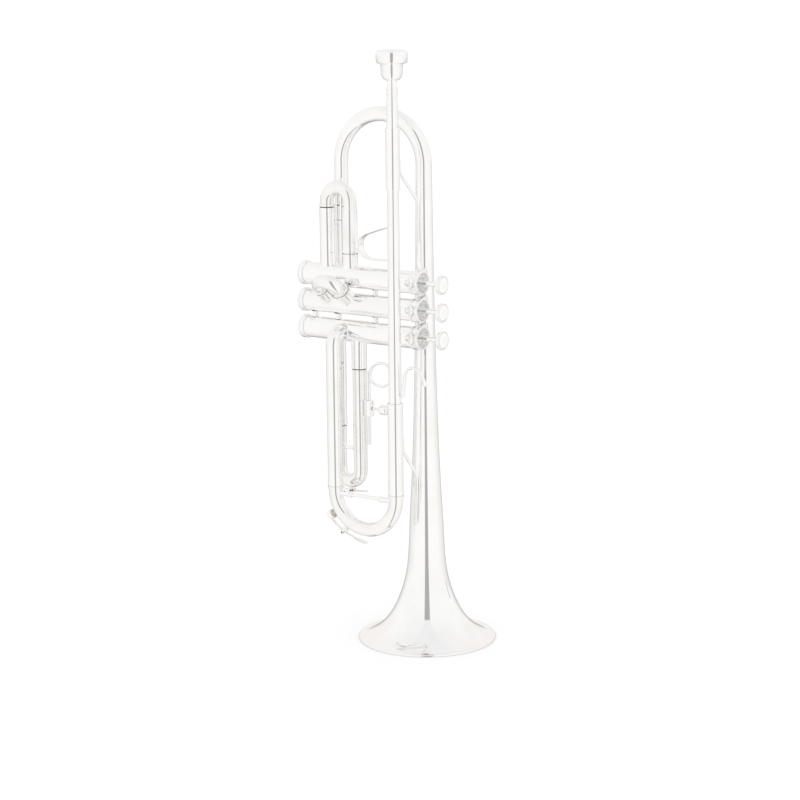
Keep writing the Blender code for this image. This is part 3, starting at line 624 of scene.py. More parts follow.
def round_box(mesh_data, centre, size, radius=0.6):
    """A box with rounded edges."""
    box = bmesh.new()
    bmesh.ops.create_cube(box, size=1.0)
    bmesh.ops.scale(box, verts=box.verts, vec=size)
    bmesh.ops.bevel(box, geom=box.edges[:], offset=radius, segments=4, profile=0.5, affect="EDGES")
    bmesh.ops.translate(box, verts=box.verts, vec=centre)
    scratch = bpy.data.meshes.new("scratch")
    box.to_mesh(scratch)
    box.free()
    mesh_data.from_mesh(scratch)
    bpy.data.meshes.remove(scratch)


# ---- bell, bow and tail ----
def bell_bore(height):
    """The bore radius of the bell at a height above its rim."""
    mouth, flare, power = RIM_RADIUS - 0.5, 13.6, 0.65
    waist, waist_height, waist_spread = 2.4, 62.0, 33.0
    horn = mouth * (flare / (height + flare)) ** power
    return horn - waist * exp(-(((height - waist_height) / waist_spread) ** 2)) * min(1.0, height / 20)


def bell():
    """The flared bell, spun thin, with a wire rolled into its rim."""
    steps = 90
    heights = [2.2 + (BELL_TOP - 2.2) * (k / steps) ** 2.2 for k in range(steps + 1)]
    rim = RIM_RADIUS
    bead = [(0.0, rim - 2.6), (0.0, rim - 0.8), (0.45, rim - 0.25), (1.2, rim), (1.85, rim - 0.3)]
    bead += [(2.15, rim - 1.0), (2.1, rim - 1.9), (1.95, rim - 2.8), (1.98, rim - 3.8)]
    outer = [(height, bell_bore(height) + WALL) for height in heights]
    inner = [(height, bell_bore(height)) for height in reversed(heights)]
    profile = [(0.9, bell_bore(0.9)), *soften(bead, 0.3, 2, closed=False), *outer, *inner]
    finish_piece("bell", lathe(profile, Vector((0, 0, 0)), UP, BELL_SIDES))


def bell_bow():
    """The tapering bow from the top of the bell over to its tail."""
    across = BOW_LEG.normalized()
    normal = across.cross(UP)
    leg_end = span("bell_bow")[0].z
    start = Vector((0, 0, BELL_TOP + GAP))
    centre = start + across * (BOW_LEG.length / 2)
    bend = [(start - UP * (GAP + 0.6), UP), *arc(centre, start, -normal, 180, 64)]
    leg = bend[-1][0]
    straight = [(Vector((leg.x, leg.y, leg.z + (leg_end - leg.z) * k / 8)), -UP) for k in range(1, 9)]
    path = bend + straight
    first, last = bell_bore(BELL_TOP) + WALL + 0.02, TAIL_RADIUS
    stations = []
    for k, (point, direction) in enumerate(path):
        radius = first + (last - first) * k / (len(path) - 1)
        stations.append((point, direction, radius, radius - WALL))
    finish_piece("bell_bow", sweep(stations, normal))


def bell_tail():
    """The knuckle from the bow's leg into the side of the first casing."""
    bend_radius = 7.0
    port = VALVE_Z[0] + 2.5
    top = Vector((BOW_LEG.x, BOW_LEG.y, span("bell_tail")[1].z))
    start = Vector((BOW_LEG.x, BOW_LEG.y, port + bend_radius))
    centre = start - TO_BELL_SIDE * bend_radius
    bend = arc(centre, start, -TO_BUTTONS, 90, 18)
    end = Vector((BOW_LEG.x, VALVE_Y, port))
    ferrule = collar(0.0, 5.0, TAIL_RADIUS, TAIL_RADIUS + 0.4)
    ring = [(top - UP * along, -UP, radius, TAIL_BORE) for along, radius in ferrule]
    body = [(point, direction, TAIL_RADIUS, TAIL_BORE) for point, direction in bend]
    foot = (end, -TO_BELL_SIDE, TAIL_RADIUS + FLARE, TAIL_BORE)
    mesh_data = sweep([*ring, *body, foot], TO_BUTTONS)
    land_on_casing([v for v in mesh_data.verts if abs(v.co.y - VALVE_Y) < 0.01], TO_BELL_SIDE, 0)
    finish_piece("bell_tail", mesh_data)


# ---- leadpipe side ----
def on_leadpipe(height):
    return Vector((LEAD_X, LEAD_Y, height))


def leadpipe():
    low, high = span("leadpipe")[0].z, span("leadpipe")[1].z
    length = high - low
    profile = [(0, 5.65), (length * 0.25, 5.65), (length, 4.95), (length, 4.35), (0, 5.05)]
    finish_piece("leadpipe", lathe(soften(profile), on_leadpipe(low), UP, TUBE_SIDES))


def mouthpiece_receiver():
    """The receiver, with a ring at its mouth and a step at its foot."""
    low, high = span("mouthpiece_receiver")[0].z, span("mouthpiece_receiver")[1].z
    length = high - low
    outer = [(0, 5.75), (0.7, RECEIVER_RADIUS - 0.1), (1.4, RECEIVER_RADIUS)]
    outer += collar(length - 3.0, length, RECEIVER_RADIUS, RECEIVER_RADIUS + 0.45)[:-1]
    bore = [(length, 5.75), (26, 5.3), (0, 5.3)]
    profile = soften(outer + bore, 0.15, 2)
    finish_piece("mouthpiece_receiver", lathe(profile, on_leadpipe(low), UP, TUBE_SIDES))


def mouthpiece():
    """Rim, bowl-shaped cup, beaded neck and tapered shank, with the bore right through."""
    base = span("mouthpiece")[0].z
    top = span("mouthpiece")[1].z
    outer = [
        (434.0, 4.75), (458.0, 4.9), (479.6, 5.0), (480.6, 4.9), (485.0, 4.45),
        *collar(486.8, 489.4, 4.4, 4.9), *collar(490.8, 493.4, 4.4, 5.25), (494.2, 4.15),
        (499.0, 4.15),
    ]
    for k in range(1, 17):
        angle = pi / 2 * k / 16
        outer.append((499.2 + 8.2 * (1 - cos(angle)), 4.3 + 5.05 * sin(angle) ** 0.85))
    outer += [(510.0, 9.5), (512.7, 9.6), (513.1, 9.9)]
    outer += [(513.3, 11.6), (513.9, 12.7), (515.4, 13.35), (518.4, 13.55), (521.2, 13.5)]
    outer += [(522.9, 13.3), (524.0, 12.4), (top, 11.2), (524.1, 9.9), (523.1, 8.9)]
    inner = []
    for k in range(13):
        t = k / 12
        inner.append((521.8 - 13.0 * t, 1.95 + 6.6 * cos(t * pi / 2) ** 0.8))
    inner += [(506.5, 1.85), (503.0, 1.9), (434.0, 4.3)]
    profile = [(height - base, radius) for height, radius in outer + inner]
    finish_piece("mouthpiece", lathe(profile, on_leadpipe(base), UP, 96), on_leadpipe(base))


def upper_tuning_sleeve():
    """The sleeve between the leadpipe and the main crook, ringed at both ends."""
    length = SLEEVE_TOP - SLEEVE_LOW
    outer = collar(0, FERRULE_LENGTH, SLEEVE_RADIUS - 0.05, FERRULE_RADIUS)[1:]
    top = collar(length - 3.4, length, SLEEVE_RADIUS, FERRULE_RADIUS)[:-1]
    bore = [(length, 5.95), (length - 8, 5.95), (length - 8.3, SLEEVE_BORE), (0, SLEEVE_BORE)]
    finish_piece("upper_tuning_sleeve", lathe(outer + top + bore, on_leadpipe(SLEEVE_LOW), UP, TUBE_SIDES))


def lower_tuning_sleeve():
    """The sleeve whose elbow turns into the third casing."""
    bend_radius = 12.0
    port = VALVE_Z[2]
    low = Vector((TUNING_LOW_X, LEAD_Y, SLEEVE_LOW))
    start = Vector((TUNING_LOW_X, LEAD_Y, port - bend_radius))
    bend = arc(start + TO_BELL_SIDE * bend_radius, start, -TO_BUTTONS, 90, 22)
    end = Vector((TUNING_LOW_X, VALVE_Y, port))
    ring = collar(0, FERRULE_LENGTH, SLEEVE_RADIUS - 0.05, FERRULE_RADIUS)[1:]
    stations = [(low + UP * along, UP, radius, SLEEVE_BORE) for along, radius in ring]
    stations += [(point, direction, SLEEVE_RADIUS, SLEEVE_BORE) for point, direction in bend]
    stations.append((end, TO_BELL_SIDE, SLEEVE_RADIUS + FLARE, SLEEVE_BORE))
    mesh_data = sweep(stations, TO_BUTTONS)
    land_on_casing([v for v in mesh_data.verts if abs(v.co.y - VALVE_Y) < 0.01], -TO_BELL_SIDE, 2)
    finish_piece("lower_tuning_sleeve", mesh_data)


# ---- slides ----
def slide_frame(number):
    """Where a valve slide starts, which way it runs, and the normal of its bow."""
    out = (UP, Vector((0.0, -cos(SECOND_TILT), sin(SECOND_TILT))), -UP)[number]
    base = Vector((0.0, VALVE_Y, VALVE_Z[number]))
    return base, out, out.cross(TO_BUTTONS).normalized()


def standing_tube(node, number, x, outer, bore):
    """A tube that stands on a casing, flared a little where it is soldered on."""
    base, out, _ = slide_frame(number)
    start = base + TO_BUTTONS * x
    foot = [(0.0, SLEEVE_RADIUS + FLARE), (11.0, SLEEVE_RADIUS)]
    profile = [*foot, *outer, *bore, (0.0, bore[-1][1])]
    mesh_data = lathe(profile, start, out, TUBE_SIDES)
    feet = [v for v in mesh_data.verts if abs((v.co - start).dot(out)) < 0.01]
    land_on_casing(feet, out, number)
    finish_piece(node, mesh_data)


def valve_sleeve(node, number, x, length):
    ring = collar(length - 2.2, length, SLEEVE_RADIUS, FERRULE_RADIUS)[:-1]
    standing_tube(node, number, x, ring, [(length, SLEEVE_BORE)])


def leg_profile(start, mouth, bow):
    """An inner leg that runs up out of its sleeve, with a ferrule just clear of the sleeve's mouth."""
    ring = collar(mouth + JOINT_GAP, min(mouth + 2.8, bow), CROOK_RADIUS, FERRULE_RADIUS)
    return [(start, CROOK_RADIUS - 0.15), (start + 0.4, CROOK_RADIUS), (mouth - 0.4, CROOK_RADIUS), *ring]


def crook(number, near_x, far_x, centre, near_leg, far_leg, mouths, extra=None, dark=True):
    """A U-shaped slide, with painted shade on each leg in the gap where it goes into its sleeve."""
    base, out, normal = slide_frame(number)
    spread = (near_x - far_x) / 2
    near, far = base + TO_BUTTONS * near_x, base + TO_BUTTONS * far_x
    middle = base + TO_BUTTONS * (far_x + spread) + out * centre
    bend = arc(middle, near + out * centre, -normal, 180, BOW_STEPS)
    stations = [(near + out * along, out, radius, bore) for along, radius, bore in near_leg]
    stations += [(point, direction, CROOK_RADIUS, BORE) for point, direction in bend]
    stations += [(far + out * along, -out, radius, BORE) for along, radius in reversed(far_leg)]
    mesh_data = sweep(stations, normal)
    if extra:
        extra(mesh_data, middle, spread)
    name = ("first", "second", "third")[number] + "_slide_crook"
    made = finish_piece(name, mesh_data)
    if extra:
        reach = spread + CROOK_RADIUS + THIRD_PIVOT_RISE
        # Painted shade on the third water key's pin between its ears.
        darken_pin(made, bow_point(middle, reach, THIRD_PIVOT_ANGLE), THIRD_EAR_SPREAD)

    def in_joint(place):
        along = (place - base).dot(out)
        mouth = mouths[0] if place.x > middle.x else mouths[1]
        return mouth - 0.4 < along < mouth + JOINT_GAP

    # Painted shade on the leg's faces in the gap at each sleeve's mouth.
    if dark:
        repaint(made, PAINTED_JOINT_SHADE, in_joint)


def with_bore(profile):
    return [(along, radius, BORE) for along, radius in profile]


def first_slide():
    """The first slide: its near leg is an outer tube over a fixed one, its far leg an inner tube."""
    fixed = collar(FIRST_FIXED_RING - 2.1, FIRST_FIXED_RING, SLEEVE_RADIUS, FERRULE_RADIUS)[:-2]
    fixed += [(FIRST_FIXED_RING, CROOK_RADIUS), (FIRST_FIXED_TOP - 0.4, CROOK_RADIUS)]
    fixed.append((FIRST_FIXED_TOP, CROOK_RADIUS - 0.15))
    standing_tube("first_slide_near_tube", 0, FIRST_NEAR_X, fixed, [(FIRST_FIXED_TOP, BORE)])
    valve_sleeve("first_slide_far_sleeve", 0, FIRST_FAR_X, FIRST_MOUTH)
    near_leg = [
        (21.0, FERRULE_RADIUS - 0.15, SLEEVE_BORE), (21.15, FERRULE_RADIUS, SLEEVE_BORE),
        (22.8, FERRULE_RADIUS, SLEEVE_BORE), (23.1, SLEEVE_RADIUS, SLEEVE_BORE),
        (58.5, SLEEVE_RADIUS, SLEEVE_BORE), (58.8, SLEEVE_RADIUS, BORE), (60.2, SLEEVE_RADIUS, BORE),
        (60.7, CROOK_RADIUS, BORE),
    ]
    far_leg = leg_profile(26.0, FIRST_MOUTH, FIRST_CENTRE)
    mouths = (FIRST_FIXED_RING + 0.1, FIRST_MOUTH)
    crook(0, FIRST_NEAR_X, FIRST_FAR_X, FIRST_CENTRE, near_leg, far_leg, mouths)
    # Painted shade on the fixed tube in the gap between its ring and the end of the slide's outer tube.
    tube = bpy.data.objects["first_slide_near_tube_fine"]
    line = VALVE_Z[0] + FIRST_FIXED_RING
    repaint(tube, PAINTED_JOINT_SHADE, lambda place: line - 0.1 < place.z < line + 0.6)


def second_slide():
    valve_sleeve("second_slide_near_sleeve", 1, SECOND_NEAR_X, SECOND_MOUTH)
    valve_sleeve("second_slide_far_sleeve", 1, SECOND_FAR_X, SECOND_MOUTH)
    leg = leg_profile(11.0, SECOND_MOUTH, SECOND_CENTRE)
    mouths = (SECOND_MOUTH, SECOND_MOUTH)
    crook(1, SECOND_NEAR_X, SECOND_FAR_X, SECOND_CENTRE, with_bore(leg), leg, mouths, dark=False)


def third_slide_fittings(mesh_data, middle, half):
    """The post between the legs, the water hole and the two ears of its key."""
    inset = CROOK_RADIUS - 0.3
    start = Vector((THIRD_FAR_X + inset, VALVE_Y, THIRD_POST_Z))
    length = THIRD_NEAR_X - THIRD_FAR_X - 2 * inset
    flare = [(0, 2.4), (0.5, 2.2), (1.2, 1.7), (2.0, 1.6)]
    profile = flare + [(length - along, radius) for along, radius in reversed(flare)]
    lathe(profile, start, TO_BUTTONS, ROD_SIDES, closed=False, mesh_data=mesh_data)
    water_hole(mesh_data, middle, half, THIRD_PAD_ANGLE, 2.0, 1.5)
    key_saddle(mesh_data, middle, half, THIRD_PIVOT_ANGLE, THIRD_PIVOT_RISE, THIRD_EAR_SPREAD)


def third_slide():
    valve_sleeve("third_slide_near_sleeve", 2, THIRD_NEAR_X, THIRD_NEAR_MOUTH)
    valve_sleeve("third_slide_far_sleeve", 2, THIRD_FAR_X, THIRD_FAR_MOUTH)
    near_leg = with_bore(leg_profile(12.0, THIRD_NEAR_MOUTH, THIRD_CENTRE))
    far_leg = leg_profile(36.0, THIRD_FAR_MOUTH, THIRD_CENTRE)
    mouths = (THIRD_NEAR_MOUTH, THIRD_FAR_MOUTH)
    fittings = third_slide_fittings
    crook(2, THIRD_NEAR_X, THIRD_FAR_X, THIRD_CENTRE, near_leg, far_leg, mouths, fittings)


def tuning_slide():
    """The main slide: its crook points down, and its legs run up into the two sleeves."""
    half = (LEAD_X - TUNING_LOW_X) / 2
    near = on_leadpipe(TUNING_CENTRE_Z)
    far = near - TO_BUTTONS * 2 * half
    middle = near - TO_BUTTONS * half
    leg_top = span("tuning_slide_crook")[1].z - TUNING_CENTRE_Z
    shoulder = SLEEVE_LOW - 0.55 - TUNING_CENTRE_Z
    ring = collar(0.5, shoulder, CROOK_RADIUS, FERRULE_RADIUS)
    leg = [*ring, (leg_top - 0.4, CROOK_RADIUS), (leg_top, CROOK_RADIUS - 0.15)]
    stations = [(near + UP * along, -UP, radius, BORE) for along, radius in reversed(leg)]
    turn = arc(middle, near, TO_BELL_SIDE, 180, 72)
    stations += [(point, direction, CROOK_RADIUS, BORE) for point, direction in turn]
    stations += [(far + UP * along, UP, radius, BORE) for along, radius in leg]
    mesh_data = sweep(stations, TO_BELL_SIDE)
    water_hole(mesh_data, middle, half, MAIN_PAD_ANGLE, 3.2, 2.5)
    key_saddle(mesh_data, middle, half, MAIN_PIVOT_ANGLE, MAIN_PIVOT_RISE, MAIN_EAR_SPREAD)
    made = finish_piece("tuning_slide_crook", mesh_data)
    reach = half + CROOK_RADIUS + MAIN_PIVOT_RISE
    # Painted shade on the main water key's pin between its ears.
    darken_pin(made, bow_point(middle, reach, MAIN_PIVOT_ANGLE), MAIN_EAR_SPREAD)


def tuning_slide_brace():
    """The rod between the legs of the main crook, held in a ringed socket at each end."""
    low, high = span("tuning_slide_brace")
    sunk = 1.6
    length = high.x - low.x + 2 * sunk
    centre = middle_of("tuning_slide_brace")
    rod, socket, bead = 1.5, 2.45, 3.0
    profile = [(0, socket), (9.6, socket), (10.0, socket + 0.1)]
    for k in range(1, 8):
        angle = pi * k / 8
        profile.append((11.0 - cos(angle), rod + (bead - rod) * sin(angle) ** 0.5))
    profile += [(12.1, rod + 0.2), (13.0, rod)]
    profile += [(length - along, radius) for along, radius in reversed(profile)]
    start = Vector((low.x - sunk, centre.y, centre.z))
    mesh_data = lathe(profile, start, TO_BUTTONS, ROD_SIDES * 2, closed=False)
    finish_piece("tuning_slide_brace", mesh_data)


# ---- valves ----
def on_valve(number, x):
    return Vector((x, VALVE_Y, VALVE_Z[number]))


def valve_part(kind, number):
    """The node name of one valve's part, where it starts on the valve's axis, and its length."""
    node = f"{kind}_{number + 1}"
    low, high = span(node)
    return node, on_valve(number, low.x), high.x - low.x


def knurled(profile, band, depth, start):
    """A turned cap whose band of (low, high) along the axis is cut with fine ribs."""
    mesh_data = bmesh.new()
    side, other = frame_about(TO_BUTTONS)
    rings = []
    for along, radius in profile:
        ring = ring_of(mesh_data, start + TO_BUTTONS * along, side, other, radius, KNURL_SIDES)
        if radius > CASING_RADIUS + 0.5 and band[0] < along < band[1]:
            axis_point = start + TO_BUTTONS * along
            for vert in ring[::2]:
                vert.co += (axis_point - vert.co).normalized() * depth
        rings.append(ring)
    skin(mesh_data, rings, True)
    return mesh_data


def casing(number):
    """The tube that the caps screw onto and the piston slides in."""
    node, start, length = valve_part("valve_casing", number)
    outer = [(0, CASING_RADIUS), (length, CASING_RADIUS)]
    profile = [*outer, (length, CASING_BORE), (0, CASING_BORE)]
    finish_piece(node, lathe(soften(profile), start, TO_BUTTONS, CASING_SIDES))


def top_cap(number):
    """The screwed cap that the stem passes through, with a ribbed edge and a dished face."""
    node, start, depth = valve_part("top_cap", number)
    rim = CAP_RADIUS - 0.2
    outline = [
        (0.0, rim - 0.25), (0.3, rim), (1.3, rim), (1.5, rim - 0.3), (1.9, rim - 0.3), (2.1, rim),
        (depth - 2.6, rim), (depth - 2.4, rim - 0.25), (depth - 2.1, rim - 0.25), (depth - 1.9, rim),
        (depth - 1.0, rim), (depth - 0.25, rim - 0.35), (depth, rim - 0.9), (depth, rim - 1.6),
        (depth - 0.12, rim - 1.75), (depth - 0.12, STEM_HOLE + 1.35), (depth, STEM_HOLE + 1.2),
        (depth, STEM_EDGE + 0.2), (depth - 0.2, STEM_EDGE), (depth - 2.0, STEM_EDGE),
        (depth - 2.0, CASING_BORE), (4.4, CASING_BORE), (4.4, CAP_BORE), (0.0, CAP_BORE),
    ]
    cap = finish_piece(node, knurled(soften(outline, 0.15, 2), (2.3, depth - 2.8), 0.1, start))

    def on_dish(place):
        from_axis = hypot(place.y - start.y, place.z - start.z)
        return place.x - start.x > depth - 0.2 and from_axis < rim - DISH_EDGE

    repaint(cap, CHASED_SILVER, on_dish)


def bottom_cap(number):
    """The domed cap under the casing, with its air hole and a ribbed edge."""
    node, start, depth = valve_part("bottom_cap", number)
    outline = [
        (0.35, CAP_AIR_HOLE), (0.35, CAP_RADIUS - 4.6), (0.0, CAP_RADIUS - 4.1),
        (0.0, CAP_RADIUS - 2.6), (0.35, CAP_RADIUS - 1.3), (1.1, CAP_RADIUS - 0.4),
        (2.0, CAP_RADIUS - 0.02), (2.9, CAP_RADIUS - 0.02), (3.3, CAP_RADIUS - 0.3),
        (3.7, CAP_RADIUS - 0.3), (4.1, CAP_RADIUS - 0.05), (depth - 0.7, CAP_RADIUS - 0.05),
        (depth - 0.2, CAP_RADIUS - 0.35), (depth, CAP_BORE + 0.3), (depth, CAP_BORE), (3.6, CAP_BORE),
        (1.8, CASING_BORE - 1.5), (1.8, CAP_AIR_HOLE),
    ]
    finish_piece(node, knurled(soften(outline, 0.15, 2), (4.2, depth - 0.8), 0.1, start))


def piston(number):
    """Piston and spring barrel, with two cross bores and the slot for the guide's lugs."""
    node, start, barrel_high = valve_part("piston", number)
    barrel_low = BARREL_LOW_X - start.x
    profile = [
        (0, PISTON_RADIUS), (barrel_low, PISTON_RADIUS), (barrel_low, BARREL_RADIUS),
        (barrel_high, BARREL_RADIUS), (barrel_high, STEM_RADIUS + GAP),
        (barrel_high - 2.5, STEM_RADIUS + GAP), (barrel_high - 2.5, BARREL_BORE),
        (barrel_low, BARREL_BORE), (barrel_low - 1.5, 2.0), (0, 2.0),
    ]
    made = finish_piece(node, lathe(soften(profile, 0.3), start, TO_BUTTONS, BUTTON_SIDES))
    port = [(0, PORT_RADIUS), (24, PORT_RADIUS)]
    for x in PORT_X:
        cut(made, lathe(port, on_valve(number, x) - UP * 12, UP, 40, closed=False))
    slot_low = GUIDE_LOW_X - GUIDE_ROOM
    slot_high = GUIDE_LOW_X + GUIDE_THICK + STROKE + GUIDE_ROOM
    slot_size = (slot_high - slot_low, 24.0, 5.0)
    slot = bmesh.new()
    round_box(slot, on_valve(number, (slot_low + slot_high) / 2), slot_size, 1.2)
    cut(made, slot)
    shade(made.data, CUT_SHARP)


def valve_guide(number):
    """The guide: a disc inside the barrel, with two lugs that reach the casing."""
    node, start, _ = valve_part("valve_guide", number)
    disc = [(0, 6.0), (GUIDE_THICK, 6.0), (GUIDE_THICK, STEM_HOLE), (0, STEM_HOLE)]
    mesh_data = lathe(soften(disc), start, TO_BUTTONS, TUBE_SIDES)
    for way in (-1, 1):
        place = start + TO_BUTTONS * GUIDE_THICK / 2 + TO_BELL_SIDE * way * 6.4
        round_box(mesh_data, place, (GUIDE_THICK - 0.4, 3.6, 4.0), 0.4)
    finish_piece(node, mesh_data)


def valve_spring(number):
    """The return spring, close-wound at both ends."""
    node, start, length = valve_part("valve_spring", number)
    turns, per_turn, wire, coil = 7, 32, 0.5, 5.2
    inset = wire + 0.05
    mesh_data = bmesh.new()
    rings = []
    count = turns * per_turn
    for k in range(count + 1):
        t = k / count
        angle = 2 * pi * k / per_turn
        outward = Vector((0.0, cos(angle), sin(angle)))
        spread = t - 0.09 * sin(2 * pi * t)
        along = inset + (length - 2 * inset) * spread
        centre = start + TO_BUTTONS * along + outward * coil
        rings.append(ring_of(mesh_data, centre, TO_BUTTONS, outward, wire, 10))
    skin(mesh_data, rings, False)
    cap_ends(mesh_data, rings)
    finish_piece(node, mesh_data)


def finger_button(number):
    """The button and its stem, with a raised lip round the pearl."""
    node, start, face = valve_part("finger_button", number)
    back = face - BUTTON_THICK
    profile = [
        (0.0, STEM_RADIUS - 0.2), (0.3, STEM_RADIUS), (back - 0.8, STEM_RADIUS),
        (back - 0.3, STEM_RADIUS + 0.3), (back, STEM_RADIUS + 1.2), (back + 0.1, 6.6),
        (back + 0.5, 7.8), (back + 1.1, BUTTON_RADIUS - 0.05), (back + 1.5, BUTTON_RADIUS),
        (face - 0.9, BUTTON_RADIUS), (face - 0.3, BUTTON_RADIUS - 0.25), (face, BUTTON_RADIUS - 0.8),
        (face - 0.1, PEARL_RADIUS + GAP), (face - 1.2, PEARL_RADIUS + GAP - 0.1),
    ]
    profile = soften(profile, 0.2, 3, closed=False)
    finish_piece(node, lathe(profile, start, TO_BUTTONS, BUTTON_SIDES, closed=False), start)


def button_pearl(number):
    """The domed inlay in the button."""
    node, start, depth = valve_part("button_pearl", number)
    profile = [(0, PEARL_RADIUS), (depth * 0.45, PEARL_RADIUS)]
    for k in range(1, 10):
        angle = pi / 2 * k / 10
        profile.append((depth * (0.45 + 0.55 * sin(angle)), PEARL_RADIUS * cos(angle) ** 0.6))
    finish_piece(node, lathe(profile, start, TO_BUTTONS, BUTTON_SIDES, closed=False), start)


def stem_felt(number):
    node, start, thick = valve_part("stem_felt", number)
    hole = STEM_RADIUS + GAP
    profile = [(0, FELT_RADIUS), (thick, FELT_RADIUS), (thick, hole), (0, hole)]
    finish_piece(node, lathe(soften(profile, 1.2, 4), start, TO_BUTTONS, 56), start)


def casing_link(node, upper, radius):
    """A spacer between two casings, flared at both ends like a turned baluster."""
    x = middle_of(node).x
    half = (VALVE_Z[upper] - VALVE_Z[upper + 1]) / 2
    start = on_valve(upper, x) - UP * 2 * half
    ends = CASING_RADIUS - 0.3
    profile = []
    for k in range(17):
        t = k / 16
        along = ends + (2 * half - 2 * ends) * t
        profile.append((along, radius * (1.0 + 0.55 * (2 * t - 1) ** 4)))
    mesh_data = lathe(profile, start, UP, ROD_SIDES * 2, closed=False)
    finish_piece(node, mesh_data)


def valves():
    for number in range(3):
        casing(number)
        top_cap(number)
        bottom_cap(number)
        piston(number)
        valve_guide(number)
        valve_spring(number)
        finger_button(number)
        button_pearl(number)
        stem_felt(number)
    casing_link("casing_link_12", 0, 2.2)
    casing_link("casing_link_23_top", 1, 2.2)
    casing_link("casing_link_23_middle", 1, 2.8)
    casing_link("casing_link_23_bottom", 1, 2.6)


# ---- hand fittings ----
def strip(path, thick, width, mesh_data=None, sides=ROD_SIDES):
    """A metal strip along a path in the X-Z plane, with rounded edges and tapering tips."""
    stations = []
    count = len(path) - 1
    for k, (point, direction) in enumerate(path):
        edge = min(k, count - k) / 1.5
        tip = sqrt(max(0.0, 1 - (1 - min(1.0, edge)) ** 2)) * 0.75 + 0.25
        stations.append((point, direction, thick / 2 * tip, 0))
    return sweep(stations, TO_BELL_SIDE, sides=sides, flat=width / thick, mesh_data=mesh_data)


def thumb_saddle():
    """The U-shaped rest on the first slide, with its soldered bracket."""
    left, plane, base = -51.9, VALVE_Y - 2.2, 329.0
    outline = (
        (28.0, 13.3), (12.5, 13.0), (5.0, 15.0), (0.3, 20.6), (0.1, 28.5), (4.4, 33.5), (13.0, 37.0),
        (28.0, 42.1),
    )
    points = [Vector((left + across, plane, base + rise)) for across, rise in outline]
    mesh_data = strip(smooth_path(points, 10), 1.5, 9.0)
    near_face = FIRST_NEAR_X + SLEEVE_RADIUS - 0.3
    bracket = Vector(((left + near_face) / 2, VALVE_Y, base + 24.0))
    round_box(mesh_data, bracket, (left - near_face + 0.6, 4.0, 8.0), 1.2)
    finish_piece("thumb_saddle", mesh_data)


def finger_hook():
    """The little-finger hook on the leadpipe, open downwards."""
    radius, lean = 8.9, 8.0
    centre = Vector((15.8, LEAD_Y, 245.5))
    start = bow_point(centre, radius, 180.0 - lean)
    over = arc(centre, start, TO_BELL_SIDE, 180.0 - lean - 25.0, 30)
    root = Vector((LEAD_X + 5.65 + GAP + 1.6, LEAD_Y, 226.0))
    rising = [(root.lerp(start, k / 10), over[0][1]) for k in range(10)]
    falling = [(over[-1][0] + over[-1][1] * 1.1 * k, over[-1][1]) for k in range(1, 11)]
    finish_piece("finger_hook", strip([*rising, *over, *falling], 2.6, 5.0))


def s_brace(node, bend, lead_radius):
    """A double-curved rod that leaves the leadpipe at one height and meets the bell at another."""
    lead_low, bell_high = bend
    rod, steps, lead_offset = 1.5, 70, -2.5
    low, high = span(node)
    lead_top, bell_low = high.z - 0.2, low.z + 0.2
    lead_y = LEAD_Y + lead_radius + GAP + rod
    places = []
    for k in range(steps + 1):
        height = lead_top + (bell_low - lead_top) * k / steps
        across = min(1.0, max(0.0, (lead_low - height) / (lead_low - bell_high)))
        blend = across * across * (3 - 2 * across)
        bell_y = -bell_bore(height) - WALL - GAP - rod - 0.3
        places.append(Vector((lead_offset * (1 - blend), lead_y + (bell_y - lead_y) * blend, height)))
    stations = []
    for k, (point, direction) in enumerate(directed(places)):
        tip = min(1.0, 0.35 + min(k, steps - k) / 5)
        stations.append((point, direction, rod * tip, 0))
    finish_piece(node, sweep(stations, TO_BUTTONS, sides=ROD_SIDES))


def finger_ring():
    """The third-slide ring on the rod that its clamp holds."""
    low, high = span("finger_ring")
    rod_radius, ring_radius, wire = RING_ROD_RADIUS, 10.4, 1.2
    rod_x, height = low.x + rod_radius, high.z - ring_radius - wire
    across = Vector((cos(RING_TURN), sin(RING_TURN), 0.0))
    normal = across.cross(UP)
    foot = Vector((rod_x, VALVE_Y, low.z))
    centre = Vector((rod_x, VALVE_Y, height)) + across * (ring_radius + 1.6)
    mesh_data = bmesh.new()
    rings = []
    for point, direction in arc(centre, centre + across * ring_radius, normal, 360, 96)[:-1]:
        outward = direction.cross(normal).normalized()
        rings.append(ring_of(mesh_data, point, normal, outward, wire, ROD_SIDES, 2.2))
    skin(mesh_data, rings, True)
    length = height + 2.0 - low.z
    tip = [(0, 1.4), (0.3, 1.8), (0.8, rod_radius)]
    profile = tip + [(length - along, radius) for along, radius in reversed(tip)]
    lathe(profile, foot, UP, ROD_SIDES * 2, closed=False, mesh_data=mesh_data)
    finish_piece("finger_ring", mesh_data)


def ring_block():
    """The clamp block that the ring's rod passes through, with a threaded hole for its screw."""
    low, high = span("ring_block")
    middle = (low + high) / 2
    mesh_data = bmesh.new()
    round_box(mesh_data, middle, high - low, 0.7)
    made = finish_piece("ring_block", mesh_data)
    centre = Vector((span("finger_ring")[0].x + RING_ROD_RADIUS, VALVE_Y, middle.z))
    bore = [(0, RING_ROD_RADIUS + GAP), (30, RING_ROD_RADIUS + GAP)]
    cut(made, lathe(bore, centre - UP * 15, UP, 40, closed=False))
    thread = [(0, 1.6), (12, 1.6)]
    cut(made, lathe(thread, centre, TO_BUTTONS, 32, closed=False))
    shade(made.data, CUT_SHARP)


